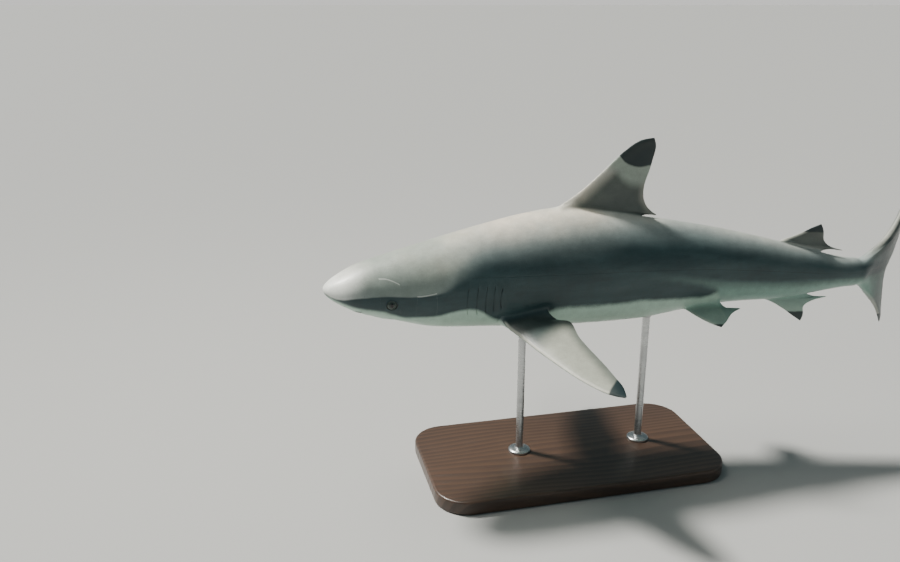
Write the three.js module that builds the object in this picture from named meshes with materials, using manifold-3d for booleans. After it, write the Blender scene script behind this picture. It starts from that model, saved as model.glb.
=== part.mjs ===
// A life-size display model of a blacktip reef shark (Carcharhinus melanopterus).
// It swims in a gentle S bend, held over a flat base by two upright rods.
// Millimetres, +Z up, snout towards -X, the animal's left side towards -Y.
// The origin is the centre of the underside of the stand's base.
//
// Stations and offsets on the animal are shares of its total length:
// station 0 is the snout tip, 1 is the tip of the upper tail lobe laid straight back.

import * as THREE from "three";
import { mergeVertices } from "three/addons/utils/BufferGeometryUtils.js";
import Module from "manifold-3d";

const wasm = await Module();
wasm.setup();

// ---- Driving dimensions ----

const totalLength = 1400;
const gap = 0.3;
const noseUp = THREE.MathUtils.degToRad(2.3);
const swimHeight = 380;
const poseStation = 0.3;
const poseOffset = new THREE.Vector3(-38, 11, swimHeight);

// Heading of the spine in degrees, tailward, positive away from the animal's left side.
const headings = [
  [0, 7.4], [0.16, 7.4], [0.3, 0], [0.45, -5.2], [0.6, -9.5], [0.7, -2],
  [0.76, 15], [0.8, 32], [0.85, 46], [0.92, 55], [1, 59],
];

// Heights of the back and belly over the body axis, and half the breadth.
const backHeights = [
  [0, 0.016], [0.02, 0.021], [0.06, 0.0326], [0.12, 0.0478], [0.2, 0.067], [0.26, 0.0805],
  [0.31, 0.0875], [0.36, 0.0835], [0.42, 0.0755], [0.48, 0.0675], [0.54, 0.058],
  [0.62, 0.042], [0.7, 0.0235], [0.77, 0.0205],
];
const bellyHeights = [
  [0, -0.022], [0.02, -0.025], [0.06, -0.0348], [0.12, -0.051], [0.2, -0.059], [0.31, -0.065],
  [0.42, -0.0615], [0.48, -0.051], [0.54, -0.041], [0.62, -0.0345], [0.7, -0.0205],
  [0.77, -0.018],
];
const halfBreadths = [
  [0, 0.0265], [0.02, 0.0325], [0.05, 0.0375], [0.08, 0.0435], [0.12, 0.05], [0.16, 0.0545],
  [0.21, 0.057], [0.26, 0.0575], [0.31, 0.0565], [0.36, 0.053], [0.42, 0.047], [0.48, 0.04],
  [0.54, 0.033], [0.6, 0.0255], [0.66, 0.0185], [0.7, 0.015], [0.77, 0.0115],
];
// How far the broadest line lies below mid height, as a share of half the height.
const broadestDrops = [[0, 0.1], [0.08, 0.22], [0.2, 0.2], [0.35, 0.1], [0.6, 0]];
// How square the underside is: 2 is an ellipse.
const bellySquareness = [[0, 2.1], [0.06, 2.5], [0.3, 2.4], [0.5, 2.2], [0.7, 2]];

const snoutRounding = 0.047;
// The round of the snout: 2 is an ellipse, less is more pointed.
const snoutBreadthPower = 2;
const snoutHeightPower = 1.7;
const tailRoundingStart = 0.745;
const bodyEnd = 0.77;
const bodyAround = 24;
const bodyAlong = 50;
// More than 1 crowds the rings towards the snout.
const snoutCrowding = 1.35;

// The flesh is parted across the spine at these stations.
const bodyParts = [
  ["head", 0, 0.222],
  ["trunk_front", 0.222, 0.4],
  ["trunk_rear", 0.4, 0.585],
  ["tail_stalk", 0.585, bodyEnd],
];

const eye = {
  station: 0.0725,
  up: -0.0125,
  inset: 3.6,
  halfLength: 11,
  halfHeight: 10,
  halfDepth: 8,
};

const nostril = {
  station: 0.036,
  left: 0.0225,
  sectionAngle: THREE.MathUtils.degToRad(144),
  halfLength: 0.0075,
  halfWidth: 0.0017,
  halfDepth: 0.004,
  slant: 0.65,
};

const mouth = {
  front: 0.058,
  corner: 0.1005,
  halfWidth: 0.039,
  throat: 0.108,
  sideCurve: 0.022,
  frontCurve: 0.6,
  roofHeight: -0.024,
  cutDepth: 0.06,
  slit: 1.6,
};

const gills = {
  stations: [0.164, 0.1765, 0.1885, 0.199, 0.2085],
  heights: [0.033, 0.035, 0.035, 0.032, 0.026],
  middle: -0.012,
  bow: 0.0035,
  width: 1.4,
  depth: 5,
  reach: 12,
};

const stand = {
  length: 560,
  breadth: 290,
  thickness: 26,
  cornerRadius: 60,
  bevel: 4,
  bevelSteps: 1,
  cornerSteps: 6,
  rodRadius: 7,
  footRadius: 21,
  footHeight: 7,
  rodSides: 24,
  rodStations: [0.262, 0.436],
};

// ---- Fin outlines ----
// lead runs from inside the body to the fin's tip, trail from inside the body to the same
// tip. Each trail run has its own rows, and leadTo is the share of the leading edge that
// its last row is joined to.

const firstDorsal = {
  lead: [
    [0.282, 0.07], [0.304, 0.0905], [0.329, 0.1075], [0.354, 0.13], [0.378, 0.153],
    [0.403, 0.1705], [0.4165, 0.1748],
  ],
  trail: [
    { points: [[0.396, 0.056], [0.412, 0.0785], [0.4385, 0.0805]], rows: 4, leadTo: 0.26 },
    {
      points: [
        [0.4385, 0.0805], [0.425, 0.0865], [0.4155, 0.0985], [0.4145, 0.117], [0.4182, 0.1325],
        [0.4217, 0.152], [0.4225, 0.168], [0.4165, 0.1748],
      ],
      rows: 12,
      leadTo: 1,
    },
  ],
  rootThickness: 0.0135,
  tipThickness: 0.003,
};

const secondDorsal = {
  lead: [[0.608, 0.03], [0.6237, 0.0435], [0.638, 0.0545], [0.652, 0.0635], [0.664, 0.0685]],
  trail: [
    { points: [[0.652, 0.018], [0.667, 0.0345], [0.704, 0.032]], rows: 3, leadTo: 0.3 },
    {
      points: [[0.704, 0.032], [0.683, 0.0375], [0.6715, 0.0465], [0.669, 0.059], [0.664, 0.0685]],
      rows: 7,
      leadTo: 1,
    },
  ],
  rootThickness: 0.007,
  tipThickness: 0.0018,
};

const analFin = {
  lead: [[0.597, -0.024], [0.61, -0.0375], [0.628, -0.05], [0.645, -0.061], [0.6575, -0.0685]],
  trail: [
    { points: [[0.646, -0.014], [0.657, -0.0315], [0.692, -0.0335]], rows: 3, leadTo: 0.28 },
    {
      points: [
        [0.692, -0.0335], [0.67, -0.039], [0.6585, -0.0475], [0.66, -0.06], [0.6575, -0.0685],
      ],
      rows: 7,
      leadTo: 1,
    },
  ],
  rootThickness: 0.007,
  tipThickness: 0.0018,
};

const upperTailLobe = {
  lead: [
    [0.73, 0], [0.741, 0.0215], [0.76, 0.0345], [0.79, 0.0535], [0.84, 0.087], [0.9, 0.128],
    [0.94, 0.1565], [0.956, 0.169],
  ],
  trail: [
    { points: [[0.738, -0.006], [0.8, -0.002]], rows: 3, leadTo: 0.17 },
    {
      points: [[0.8, -0.002], [0.811, 0.009], [0.827, 0.0215], [0.865, 0.054], [0.9175, 0.1]],
      rows: 10,
      leadTo: 0.74,
    },
    { points: [[0.9175, 0.1], [0.9185, 0.1145]], rows: 1, leadTo: 0.79 },
    { points: [[0.9185, 0.1145], [0.9585, 0.1385]], rows: 3, leadTo: 0.93 },
    { points: [[0.9585, 0.1385], [0.96, 0.155], [0.956, 0.169]], rows: 3, leadTo: 1 },
  ],
  rootThickness: 0.0125,
  tipThickness: 0.0022,
};

const lowerTailLobe = {
  lead: [[0.726, 0], [0.736, -0.0195], [0.758, -0.0345], [0.79, -0.061], [0.8145, -0.083],
    [0.8275, -0.0915]],
  trail: [
    { points: [[0.738, 0.006], [0.8, 0.002]], rows: 3, leadTo: 0.3 },
    {
      points: [
        [0.8, 0.002], [0.7985, -0.013], [0.8035, -0.036], [0.8135, -0.06], [0.8265, -0.0815],
        [0.8275, -0.0915],
      ],
      rows: 10,
      leadTo: 1,
    },
  ],
  rootThickness: 0.011,
  tipThickness: 0.0022,
};

// Paired fins lie in a plane of their own, in chord and span from the root point.
const pectoral = {
  root: { station: 0.215, left: 0.05, up: -0.046 },
  flare: THREE.MathUtils.degToRad(18),
  droop: THREE.MathUtils.degToRad(17.5),
  incidence: THREE.MathUtils.degToRad(5),
  lead: [
    [-0.008, -0.028], [0.0005, 0.0005], [0.02, 0.0262], [0.041, 0.0545], [0.0615, 0.079],
    [0.081, 0.1005], [0.103, 0.1195], [0.121, 0.1295], [0.1295, 0.1305],
  ],
  trail: [
    { points: [[0.058, -0.028], [0.063, 0], [0.088, 0.009]], rows: 4, leadTo: 0.23 },
    {
      points: [
        [0.088, 0.009], [0.0885, 0.022], [0.093, 0.036], [0.1005, 0.053], [0.1095, 0.071],
        [0.118, 0.089], [0.1255, 0.107], [0.1315, 0.123], [0.1295, 0.1305],
      ],
      rows: 12,
      leadTo: 1,
    },
  ],
  rootThickness: 0.0155,
  tipThickness: 0.003,
  bend: 0.3,
};

const pelvic = {
  root: { station: 0.478, left: 0.023, up: -0.043 },
  flare: THREE.MathUtils.degToRad(6),
  droop: THREE.MathUtils.degToRad(24),
  incidence: THREE.MathUtils.degToRad(4),
  lead: [[-0.006, -0.016], [0.001, 0.0005], [0.015, 0.0175], [0.03, 0.0315], [0.0415, 0.0385]],
  trail: [
    { points: [[0.046, -0.016], [0.05, 0.001], [0.076, 0.005]], rows: 3, leadTo: 0.3 },
    {
      points: [[0.076, 0.005], [0.062, 0.014], [0.0515, 0.0275], [0.0415, 0.0385]],
      rows: 7,
      leadTo: 1,
    },
  ],
  rootThickness: 0.0075,
  tipThickness: 0.002,
  bend: 0,
};

const finAround = 14;
// Fin sections: the blunt edge in millimetres, the share of the chord over which it fills
// out, the most thickness for a chord, and how soon a fin thins towards its tip.
const finEdge = 0.7;
const edgeRun = 0.11;
const fullestSection = 0.16;
const finThinning = 1.4;

// ---- Finishes ----

function finish(color, roughness, metalness) {
  return new THREE.MeshStandardMaterial({ color, roughness, metalness });
}

const backSkin = finish(0x7d7c72, 0.5, 0);
const finSkin = finish(0x6c6d66, 0.5, 0);
const jawSkin = finish(0xd9d8cc, 0.5, 0);
const eyeGloss = finish(0x1c1f1c, 0.08, 0);
const baseWood = finish(0x2c211a, 0.4, 0);
const rodSteel = finish(0xb4b6b8, 0.3, 1);

// ---- Curves and the bent body ----

// The value at x of a smooth curve through [x, value] knots, level beyond its ends.
function smoothAt(knots, x) {
  const last = knots.length - 1;
  const clamped = THREE.MathUtils.clamp(x, knots[0][0], knots[last][0]);
  let index = 0;
  while (index < last - 1 && knots[index + 1][0] <= clamped) {
    index += 1;
  }
  const slopeAt = (i) => {
    const before = knots[Math.max(i - 1, 0)];
    const after = knots[Math.min(i + 1, last)];
    return (after[1] - before[1]) / (after[0] - before[0]);
  };
  const [startX, startValue] = knots[index];
  const [endX, endValue] = knots[index + 1];
  const width = endX - startX;
  const t = (clamped - startX) / width;
  const startWeight = (1 + 2 * t) * (1 - t) ** 2;
  const endWeight = t * t * (3 - 2 * t);
  const startPull = t * (1 - t) ** 2 * width * slopeAt(index);
  const endPull = t * t * (t - 1) * width * slopeAt(index + 1);
  return startWeight * startValue + endWeight * endValue + startPull + endPull;
}

// The spine, found by walking along its heading.
const spineSteps = 400;

function walkSpine() {
  const points = [new THREE.Vector2(0, 0)];
  for (let i = 1; i <= spineSteps; i += 1) {
    const heading = THREE.MathUtils.degToRad(smoothAt(headings, (i - 0.5) / spineSteps));
    const step = new THREE.Vector2(Math.cos(heading), Math.sin(heading));
    points.push(points[i - 1].clone().addScaledVector(step, 1 / spineSteps));
  }
  const home = points[Math.round(poseStation * spineSteps)].clone();
  points.forEach((point) => point.sub(home));
  return points;
}

const spine = walkSpine();

function spineAt(station) {
  const place = THREE.MathUtils.clamp(station, 0, 1) * spineSteps;
  const index = Math.min(Math.floor(place), spineSteps - 1);
  return spine[index].clone().lerp(spine[index + 1], place - index);
}

// Tailward, leftward and upward directions of the body at a station.
function bodyAxes(station) {
  const heading = THREE.MathUtils.degToRad(smoothAt(headings, station));
  const pitch = new THREE.Matrix4().makeRotationY(noseUp);
  return {
    tail: new THREE.Vector3(Math.cos(heading), Math.sin(heading), 0).applyMatrix4(pitch),
    left: new THREE.Vector3(Math.sin(heading), -Math.cos(heading), 0).applyMatrix4(pitch),
    up: new THREE.Vector3(0, 0, 1).applyMatrix4(pitch),
  };
}

// A point of the posed animal from its station, leftward and upward offsets, all shares.
function bodyPoint(station, left, up) {
  const onSpine = spineAt(station);
  const axes = bodyAxes(station);
  const pitch = new THREE.Matrix4().makeRotationY(noseUp);
  return new THREE.Vector3(onSpine.x, onSpine.y, 0)
    .applyMatrix4(pitch)
    .addScaledVector(axes.left, left)
    .addScaledVector(axes.up, up)
    .multiplyScalar(totalLength)
    .add(poseOffset);
}

// 1 along the body, falling to 0 over round ends at the snout and the tail stalk.
function endRounding(station, snoutPower) {
  const fromSnout = THREE.MathUtils.clamp(1 - station / snoutRounding, 0, 1);
  const tailRounding = bodyEnd - tailRoundingStart;
  const intoTail = THREE.MathUtils.clamp((station - tailRoundingStart) / tailRounding, 0, 1);
  return Math.sqrt((1 - fromSnout ** snoutPower) * (1 - intoTail ** 2));
}

function power(value, exponent) {
  return Math.sign(value) * Math.abs(value) ** exponent;
}

// Leftward and upward offsets of the skin; angle 0 is the back, a quarter turn is the left.
function sectionOffsets(station, angle, grown = 0) {
  const flatter = endRounding(station, snoutHeightPower);
  const extra = flatter > 0 ? grown / totalLength : 0;
  const back = smoothAt(backHeights, station) * flatter + extra;
  const belly = smoothAt(bellyHeights, station) * flatter - extra;
  const wider = endRounding(station, snoutBreadthPower);
  const halfBreadth = smoothAt(halfBreadths, station) * wider + extra;
  const middle = (back + belly) / 2;
  const broadest = middle - (smoothAt(broadestDrops, station) * (back - belly)) / 2;
  const below = Math.cos(angle) < 0;
  const exponent = below ? 2 / smoothAt(bellySquareness, station) : 1;
  const reach = below ? broadest - belly : back - broadest;
  return {
    left: halfBreadth * power(Math.sin(angle), exponent),
    up: broadest + reach * power(Math.cos(angle), exponent),
  };
}

// How far out the skin is at a station and height, on the left side.
function sideOffset(station, up) {
  let low = 0;
  let high = Math.PI;
  for (let i = 0; i < 30; i += 1) {
    const middle = (low + high) / 2;
    if (sectionOffsets(station, middle).up > up) {
      low = middle;
    } else {
      high = middle;
    }
  }
  return sectionOffsets(station, low).left;
}

// ---- Solids ----

// Turns a closed geometry into a solid, with its faces pointing out.
function toSolid(geometry) {
  const shell = geometry.clone();
  shell.deleteAttribute("normal");
  shell.deleteAttribute("uv");
  const merged = mergeVertices(shell);
  const corners = Uint32Array.from(merged.index.array);
  if (signedVolume(merged.attributes.position, corners) < 0) {
    corners.reverse();
  }
  const vertProperties = Float32Array.from(merged.attributes.position.array);
  return new wasm.Manifold(new wasm.Mesh({ numProp: 3, vertProperties, triVerts: corners }));
}

function signedVolume(position, corners) {
  const points = [new THREE.Vector3(), new THREE.Vector3(), new THREE.Vector3()];
  let sum = 0;
  for (let i = 0; i < corners.length; i += 3) {
    points.forEach((point, corner) => point.fromBufferAttribute(position, corners[i + corner]));
    sum += points[0].dot(points[1].clone().cross(points[2]));
  }
  return sum;
}

function toGeometry(solid) {
  const { vertProperties, triVerts } = solid.getMesh();
  const geometry = new THREE.BufferGeometry();
  geometry.setAttribute("position", new THREE.BufferAttribute(vertProperties, 3));
  geometry.setIndex(new THREE.BufferAttribute(triVerts, 1));
  geometry.computeVertexNormals();
  return geometry;
}

// Moves every vertex of a geometry to where place(vertex) says.
function reshape(geometry, place) {
  const position = geometry.attributes.position;
  const vertex = new THREE.Vector3();
  for (let i = 0; i < position.count; i += 1) {
    const moved = place(vertex.fromBufferAttribute(position, i));
    position.setXYZ(i, moved.x, moved.y, moved.z);
  }
  return geometry;
}

// A closed skin from pole to pole: place(ring, turn) gives each point, and has to give
// one point for the whole of the first ring and of the last.
function closedSkin(around, rings, place) {
  const geometry = new THREE.SphereGeometry(1, around, rings);
  const uv = geometry.attributes.uv;
  const position = geometry.attributes.position;
  for (let i = 0; i < position.count; i += 1) {
    const ring = Math.round((1 - uv.getY(i)) * rings);
    const column = Math.round(uv.getX(i) * around) % around;
    const point = place(ring, (column / around) * 2 * Math.PI);
    position.setXYZ(i, point.x, point.y, point.z);
  }
  return toSolid(geometry);
}

// A block that fills all beyond a plane across the spine, towards the tail or the snout.
function blockBeyond(station, tailward) {
  const size = 2 * totalLength;
  const axes = bodyAxes(station);
  const direction = tailward ? 1 : -1;
  const centre = bodyPoint(station, 0, 0)
    .addScaledVector(axes.tail, direction * (size / 2 - gap / 2));
  const box = new THREE.BoxGeometry(size, size, size);
  const turn = new THREE.Matrix4().makeBasis(axes.tail, axes.left.clone().negate(), axes.up);
  box.applyMatrix4(turn.setPosition(centre));
  return toSolid(box);
}

function stationOfRing(ring) {
  return (ring / bodyAlong) ** snoutCrowding * bodyEnd;
}

function makeBody(grown) {
  return closedSkin(bodyAround, bodyAlong, (ring, turn) => {
    const station = stationOfRing(ring);
    const offsets = sectionOffsets(station, turn, grown);
    return bodyPoint(station, offsets.left, offsets.up);
  });
}

// ---- Fins ----

function toPoints(pairs) {
  return pairs.map(([x, y]) => new THREE.Vector2(x, y));
}

// Each row of a fin: a point on its leading edge, one on its trailing edge.
function finRows(outline) {
  const lead = new THREE.SplineCurve(toPoints(outline.lead));
  const rows = [];
  let leadFrom = 0;
  outline.trail.forEach((run) => {
    const trail = new THREE.SplineCurve(toPoints(run.points));
    for (let i = 0; i < run.rows; i += 1) {
      const share = i / run.rows;
      const leadShare = THREE.MathUtils.lerp(leadFrom, run.leadTo, share);
      rows.push({ lead: lead.getPointAt(leadShare), trail: trail.getPointAt(share) });
    }
    leadFrom = run.leadTo;
  });
  return rows;
}

// Half thickness of a fin section at a share of its chord: a wing shape that is fullest a
// third of the way back, with a thin blunt edge kept at both ends.
function halfThickness(share, thickness) {
  const fullestShare = 1 / 3;
  const wingScale = Math.sqrt(fullestShare) * (1 - fullestShare);
  const wing = (Math.sqrt(share) * (1 - share)) / wingScale;
  const blunt = Math.min(1, (share * (1 - share)) / edgeRun);
  return (thickness / 2) * wing + (finEdge / 2) * blunt;
}

// A fin as a closed skin: place(chord, span, offset) puts its points on the animal.
function makeFin(outline, place) {
  const rows = finRows(outline);
  const tip = outline.lead[outline.lead.length - 1];
  const root = rows[0].lead.clone().lerp(rows[0].trail, 0.5);
  const rings = rows.length + 1;
  return closedSkin(finAround, rings, (ring, turn) => {
    if (ring === 0) {
      return place(root.x, root.y, 0);
    }
    if (ring === rings) {
      return place(tip[0], tip[1], 0);
    }
    const { lead, trail } = rows[ring - 1];
    const chordShare = (1 - Math.cos(turn)) / 2;
    const onChord = lead.clone().lerp(trail, chordShare);
    const spanShare = (ring - 1) / (rings - 1);
    const { tipThickness, rootThickness } = outline;
    const taper = (1 - spanShare) ** finThinning;
    const full = THREE.MathUtils.lerp(tipThickness, rootThickness, taper);
    const thickness = Math.min(full, fullestSection * lead.distanceTo(trail)) * totalLength;
    const onEdge = chordShare < 1e-9 || chordShare > 1 - 1e-9;
    const side = onEdge ? 0 : Math.sign(Math.sin(turn));
    return place(onChord.x, onChord.y, (side * halfThickness(chordShare, thickness)) / totalLength);
  });
}

function onMiddlePlane(chord, span, offset) {
  return bodyPoint(chord, offset, span);
}

// Places a paired fin's points; side is 1 for the left fin and -1 for the right.
function besideBody(outline, side) {
  const { root, flare, droop, incidence, bend } = outline;
  const axes = bodyAxes(root.station);
  const out = axes.left.clone().multiplyScalar(side);
  const start = bodyPoint(root.station, side * root.left, root.up);
  const chordLine = axes.tail.clone()
    .multiplyScalar(Math.cos(flare) * Math.cos(incidence))
    .addScaledVector(out, Math.sin(flare) * Math.cos(incidence))
    .addScaledVector(axes.up, Math.sin(incidence));
  const drooped = out.clone()
    .multiplyScalar(Math.cos(droop))
    .addScaledVector(axes.up, -Math.sin(droop));
  const spanLine = drooped.addScaledVector(chordLine, -drooped.dot(chordLine)).normalize();
  const faceLine = new THREE.Vector3().crossVectors(chordLine, spanLine);
  faceLine.multiplyScalar(Math.sign(faceLine.z));
  return (chord, span, offset) => start.clone()
    .addScaledVector(chordLine, chord * totalLength)
    .addScaledVector(spanLine, span * totalLength)
    .addScaledVector(faceLine, (offset - bend * Math.max(span, 0) ** 2) * totalLength);
}

// ---- Head details ----

// The outline of the lower jaw seen from below, drawn in by a margin in millimetres.
function jawOutline(margin) {
  const inset = margin / totalLength;
  const half = mouth.halfWidth - inset;
  const front = mouth.front + inset;
  const shape = new THREE.Shape();
  shape.moveTo(mouth.throat - inset, half);
  shape.lineTo(mouth.corner, half);
  const sideTurn = mouth.corner - mouth.sideCurve;
  const frontTurn = mouth.frontCurve * half;
  shape.bezierCurveTo(sideTurn, half, front, frontTurn, front, 0);
  shape.bezierCurveTo(front, -frontTurn, sideTurn, -half, mouth.corner, -half);
  shape.lineTo(mouth.throat - inset, -half);
  shape.closePath();
  return shape;
}

function jawBlock(margin) {
  const block = new THREE.ExtrudeGeometry(jawOutline(margin), {
    depth: mouth.cutDepth,
    bevelEnabled: false,
    curveSegments: 8,
  });
  const roof = mouth.roofHeight - margin / totalLength;
  return toSolid(reshape(block, ({ x, y, z }) => bodyPoint(x, y, roof - mouth.cutDepth + z)));
}

function eyeball(side, grown) {
  const out = sideOffset(eye.station, eye.up) - eye.inset / totalLength;
  const centre = bodyPoint(eye.station, side * out, eye.up);
  const axes = bodyAxes(eye.station);
  const ball = new THREE.SphereGeometry(1, 16, 10);
  return toSolid(reshape(ball, ({ x, y, z }) => centre.clone()
    .addScaledVector(axes.tail, x * (eye.halfLength + grown))
    .addScaledVector(axes.left, y * (eye.halfDepth + grown))
    .addScaledVector(axes.up, z * (eye.halfHeight + grown))));
}

function nostrilHollow(side) {
  const hollow = new THREE.SphereGeometry(1, 8, 6);
  const floor = sectionOffsets(nostril.station, nostril.sectionAngle).up;
  return toSolid(reshape(hollow, ({ x, y, z }) => bodyPoint(
    nostril.station + x * nostril.halfLength * nostril.slant + y * nostril.halfWidth,
    side * (nostril.left + x * nostril.halfLength - y * nostril.halfWidth * nostril.slant),
    floor + z * nostril.halfDepth,
  )));
}

function gillBlade(index, side) {
  const station = gills.stations[index];
  const halfHeight = gills.heights[index] / 2;
  const blade = new THREE.BoxGeometry(gills.width / totalLength, 1, 2, 1, 1, 2);
  return toSolid(reshape(blade, ({ x, y, z }) => {
    const up = gills.middle + z * halfHeight;
    const skin = sideOffset(station, gills.middle);
    const out = skin + (y < 0 ? -gills.depth : gills.reach) / totalLength;
    return bodyPoint(station + x + gills.bow * z * z, side * out, up);
  }));
}

// ---- Assembly ----

const shark = new THREE.Group();

function addPart(name, solid, material) {
  const mesh = new THREE.Mesh(toGeometry(solid), material);
  mesh.name = name;
  shark.add(mesh);
}

const body = makeBody(0);
const clearBody = makeBody(gap);
const sides = [["left", 1], ["right", -1]];

function addBody() {
  bodyParts.forEach(([name, from, to]) => {
    let part = body;
    if (from > 0) {
      part = part.subtract(blockBeyond(from, false));
    }
    if (to < bodyEnd) {
      part = part.subtract(blockBeyond(to, true));
    }
    if (name === "head") {
      addHead(part);
    } else {
      addPart(name, part, backSkin);
    }
  });
}

function addHead(whole) {
  let head = whole.subtract(jawBlock(0));
  sides.forEach(([sideName, side]) => {
    head = head.subtract(eyeball(side, gap)).subtract(nostrilHollow(side));
    gills.stations.forEach((station, index) => {
      head = head.subtract(gillBlade(index, side));
    });
    addPart(`eye_${sideName}`, eyeball(side, 0), eyeGloss);
  });
  addPart("head", head, backSkin);
  addPart("lower_jaw", whole.intersect(jawBlock(mouth.slit)), jawSkin);
}

function addFins() {
  const alongMiddle = [
    ["first_dorsal_fin", firstDorsal],
    ["second_dorsal_fin", secondDorsal],
    ["anal_fin", analFin],
  ];
  alongMiddle.forEach(([name, outline]) => {
    addPart(name, makeFin(outline, onMiddlePlane).subtract(clearBody), finSkin);
  });
  sides.forEach(([sideName, side]) => {
    [["pectoral_fin", pectoral], ["pelvic_fin", pelvic]].forEach(([name, outline]) => {
      const fin = makeFin(outline, besideBody(outline, side)).subtract(clearBody);
      addPart(`${name}_${sideName}`, fin, finSkin);
    });
  });
}

// The two tail lobes meet along a level cut through the fork.
function addTailLobes() {
  const size = totalLength;
  const slab = (above) => {
    const box = new THREE.BoxGeometry(size, size, size);
    const axes = bodyAxes(tailRoundingStart);
    const centre = bodyPoint(tailRoundingStart, 0, 0)
      .addScaledVector(axes.up, (above ? 1 : -1) * (size / 2 - gap / 2));
    box.applyMatrix4(new THREE.Matrix4().makeRotationY(noseUp).setPosition(centre));
    return toSolid(box);
  };
  const upper = makeFin(upperTailLobe, onMiddlePlane).subtract(clearBody).subtract(slab(false));
  const lower = makeFin(lowerTailLobe, onMiddlePlane).subtract(clearBody).subtract(slab(true));
  addPart("caudal_fin_upper_lobe", upper, finSkin);
  addPart("caudal_fin_lower_lobe", lower, finSkin);
}

function standPlan() {
  const halfLength = stand.length / 2 - stand.bevel;
  const halfBreadth = stand.breadth / 2 - stand.bevel;
  const radius = stand.cornerRadius;
  const plan = new THREE.Shape();
  plan.moveTo(halfLength, 0);
  plan.absarc(halfLength - radius, halfBreadth - radius, radius, 0, Math.PI / 2);
  plan.absarc(radius - halfLength, halfBreadth - radius, radius, Math.PI / 2, Math.PI);
  plan.absarc(radius - halfLength, radius - halfBreadth, radius, Math.PI, Math.PI * 1.5);
  plan.absarc(halfLength - radius, radius - halfBreadth, radius, Math.PI * 1.5, Math.PI * 2);
  return plan;
}

function rodProfile(top) {
  const { rodRadius, footRadius, footHeight, thickness } = stand;
  const foot = thickness + gap;
  return toPoints([
    [0, foot], [footRadius, foot], [footRadius, foot + footHeight / 2],
    [(footRadius + rodRadius) / 2, foot + footHeight], [rodRadius, foot + footHeight],
    [rodRadius, top], [0, top],
  ]);
}

function addStand() {
  const slab = new THREE.ExtrudeGeometry(standPlan(), {
    depth: stand.thickness - 2 * stand.bevel,
    bevelThickness: stand.bevel,
    bevelSize: stand.bevel,
    bevelSegments: stand.bevelSteps,
    curveSegments: stand.cornerSteps,
  });
  slab.translate(0, 0, stand.bevel);
  addPart("stand_base", toSolid(slab), baseWood);

  const names = ["stand_rod_front", "stand_rod_rear"];
  stand.rodStations.forEach((station, index) => {
    const top = bodyPoint(station, 0, 0);
    const rod = new THREE.LatheGeometry(rodProfile(top.z), stand.rodSides);
    rod.rotateX(Math.PI / 2);
    rod.translate(top.x, top.y, 0);
    addPart(names[index], toSolid(rod).subtract(clearBody), rodSteel);
  });
}

addBody();
addFins();
addTailLobes();
addStand();

export default shark;
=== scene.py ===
import math

import bmesh
import bpy
import numpy as np
from mathutils import Matrix, Vector


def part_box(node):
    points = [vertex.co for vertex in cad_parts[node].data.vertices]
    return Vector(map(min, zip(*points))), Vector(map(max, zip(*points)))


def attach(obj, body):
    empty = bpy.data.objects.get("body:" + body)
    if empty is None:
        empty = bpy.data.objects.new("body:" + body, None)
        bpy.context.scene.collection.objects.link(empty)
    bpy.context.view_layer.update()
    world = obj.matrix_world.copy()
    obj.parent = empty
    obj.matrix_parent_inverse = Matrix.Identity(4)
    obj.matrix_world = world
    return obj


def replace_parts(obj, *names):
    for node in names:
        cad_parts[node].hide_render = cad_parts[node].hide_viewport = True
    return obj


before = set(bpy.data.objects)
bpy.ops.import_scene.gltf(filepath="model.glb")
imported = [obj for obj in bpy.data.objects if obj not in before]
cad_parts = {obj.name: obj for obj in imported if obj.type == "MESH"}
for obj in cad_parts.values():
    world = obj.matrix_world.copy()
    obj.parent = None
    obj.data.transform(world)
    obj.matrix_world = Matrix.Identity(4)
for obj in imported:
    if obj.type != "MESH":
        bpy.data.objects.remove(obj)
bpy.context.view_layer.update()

# A life-size blacktip reef shark, swimming in a gentle bend over a plain display stand.
# Offsets and stations on the animal are shares of its total length: station 0 is the
# snout tip, and a body place is (station, leftward, upward).

pose = {
    "totalLength": 1.4,                # metres
    "noseUp": 2.3,                     # degrees
    "home": 0.3,                       # the station that sits at the place below
    "place": (-0.038, 0.011, 0.380),
    "headings": [                      # of the spine in degrees, away from the left side
        (0, 7.4), (0.16, 7.4), (0.3, 0), (0.45, -5.2), (0.6, -9.5), (0.7, -2),
        (0.76, 15), (0.8, 32), (0.85, 46), (0.92, 55), (1, 59)],
}
millimetre = 0.001 / pose["totalLength"]


def smoothAt(knots, x):  # a smooth curve through (x, value) knots, level beyond its ends
    knots = np.asarray(knots, float)
    at, value = knots[:, 0], knots[:, 1]
    slope = np.empty(len(at))
    slope[1:-1] = (value[2:] - value[:-2]) / (at[2:] - at[:-2])
    slope[0] = (value[1] - value[0]) / (at[1] - at[0])
    slope[-1] = (value[-1] - value[-2]) / (at[-1] - at[-2])
    x = np.clip(np.asarray(x, float), at[0], at[-1])
    i = np.clip(np.searchsorted(at, x, side="right") - 1, 0, len(at) - 2)
    width = at[i + 1] - at[i]
    t = (x - at[i]) / width
    ends = (1 + 2 * t) * (1 - t) ** 2 * value[i] + t * t * (3 - 2 * t) * value[i + 1]
    pulls = t * (1 - t) ** 2 * slope[i] + t * t * (t - 1) * slope[i + 1]
    return ends + pulls * width


def smoothLine(points, share):  # a smooth line through points, by share of its length
    points = np.asarray(points, float)
    along = np.concatenate([[0], np.cumsum(np.hypot(*np.diff(points, axis=0).T))])
    at = np.asarray(share) * along[-1]
    return np.array([smoothAt(np.column_stack([along, points[:, k]]), at) for k in (0, 1)])


def rise(x, low, high):  # 0 below low, 1 above high, smooth between
    t = np.clip((np.asarray(x, float) - low) / (high - low), 0, 1)
    return t * t * (3 - 2 * t)


def between(a, b, share):
    return a + (b - a) * share


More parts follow.
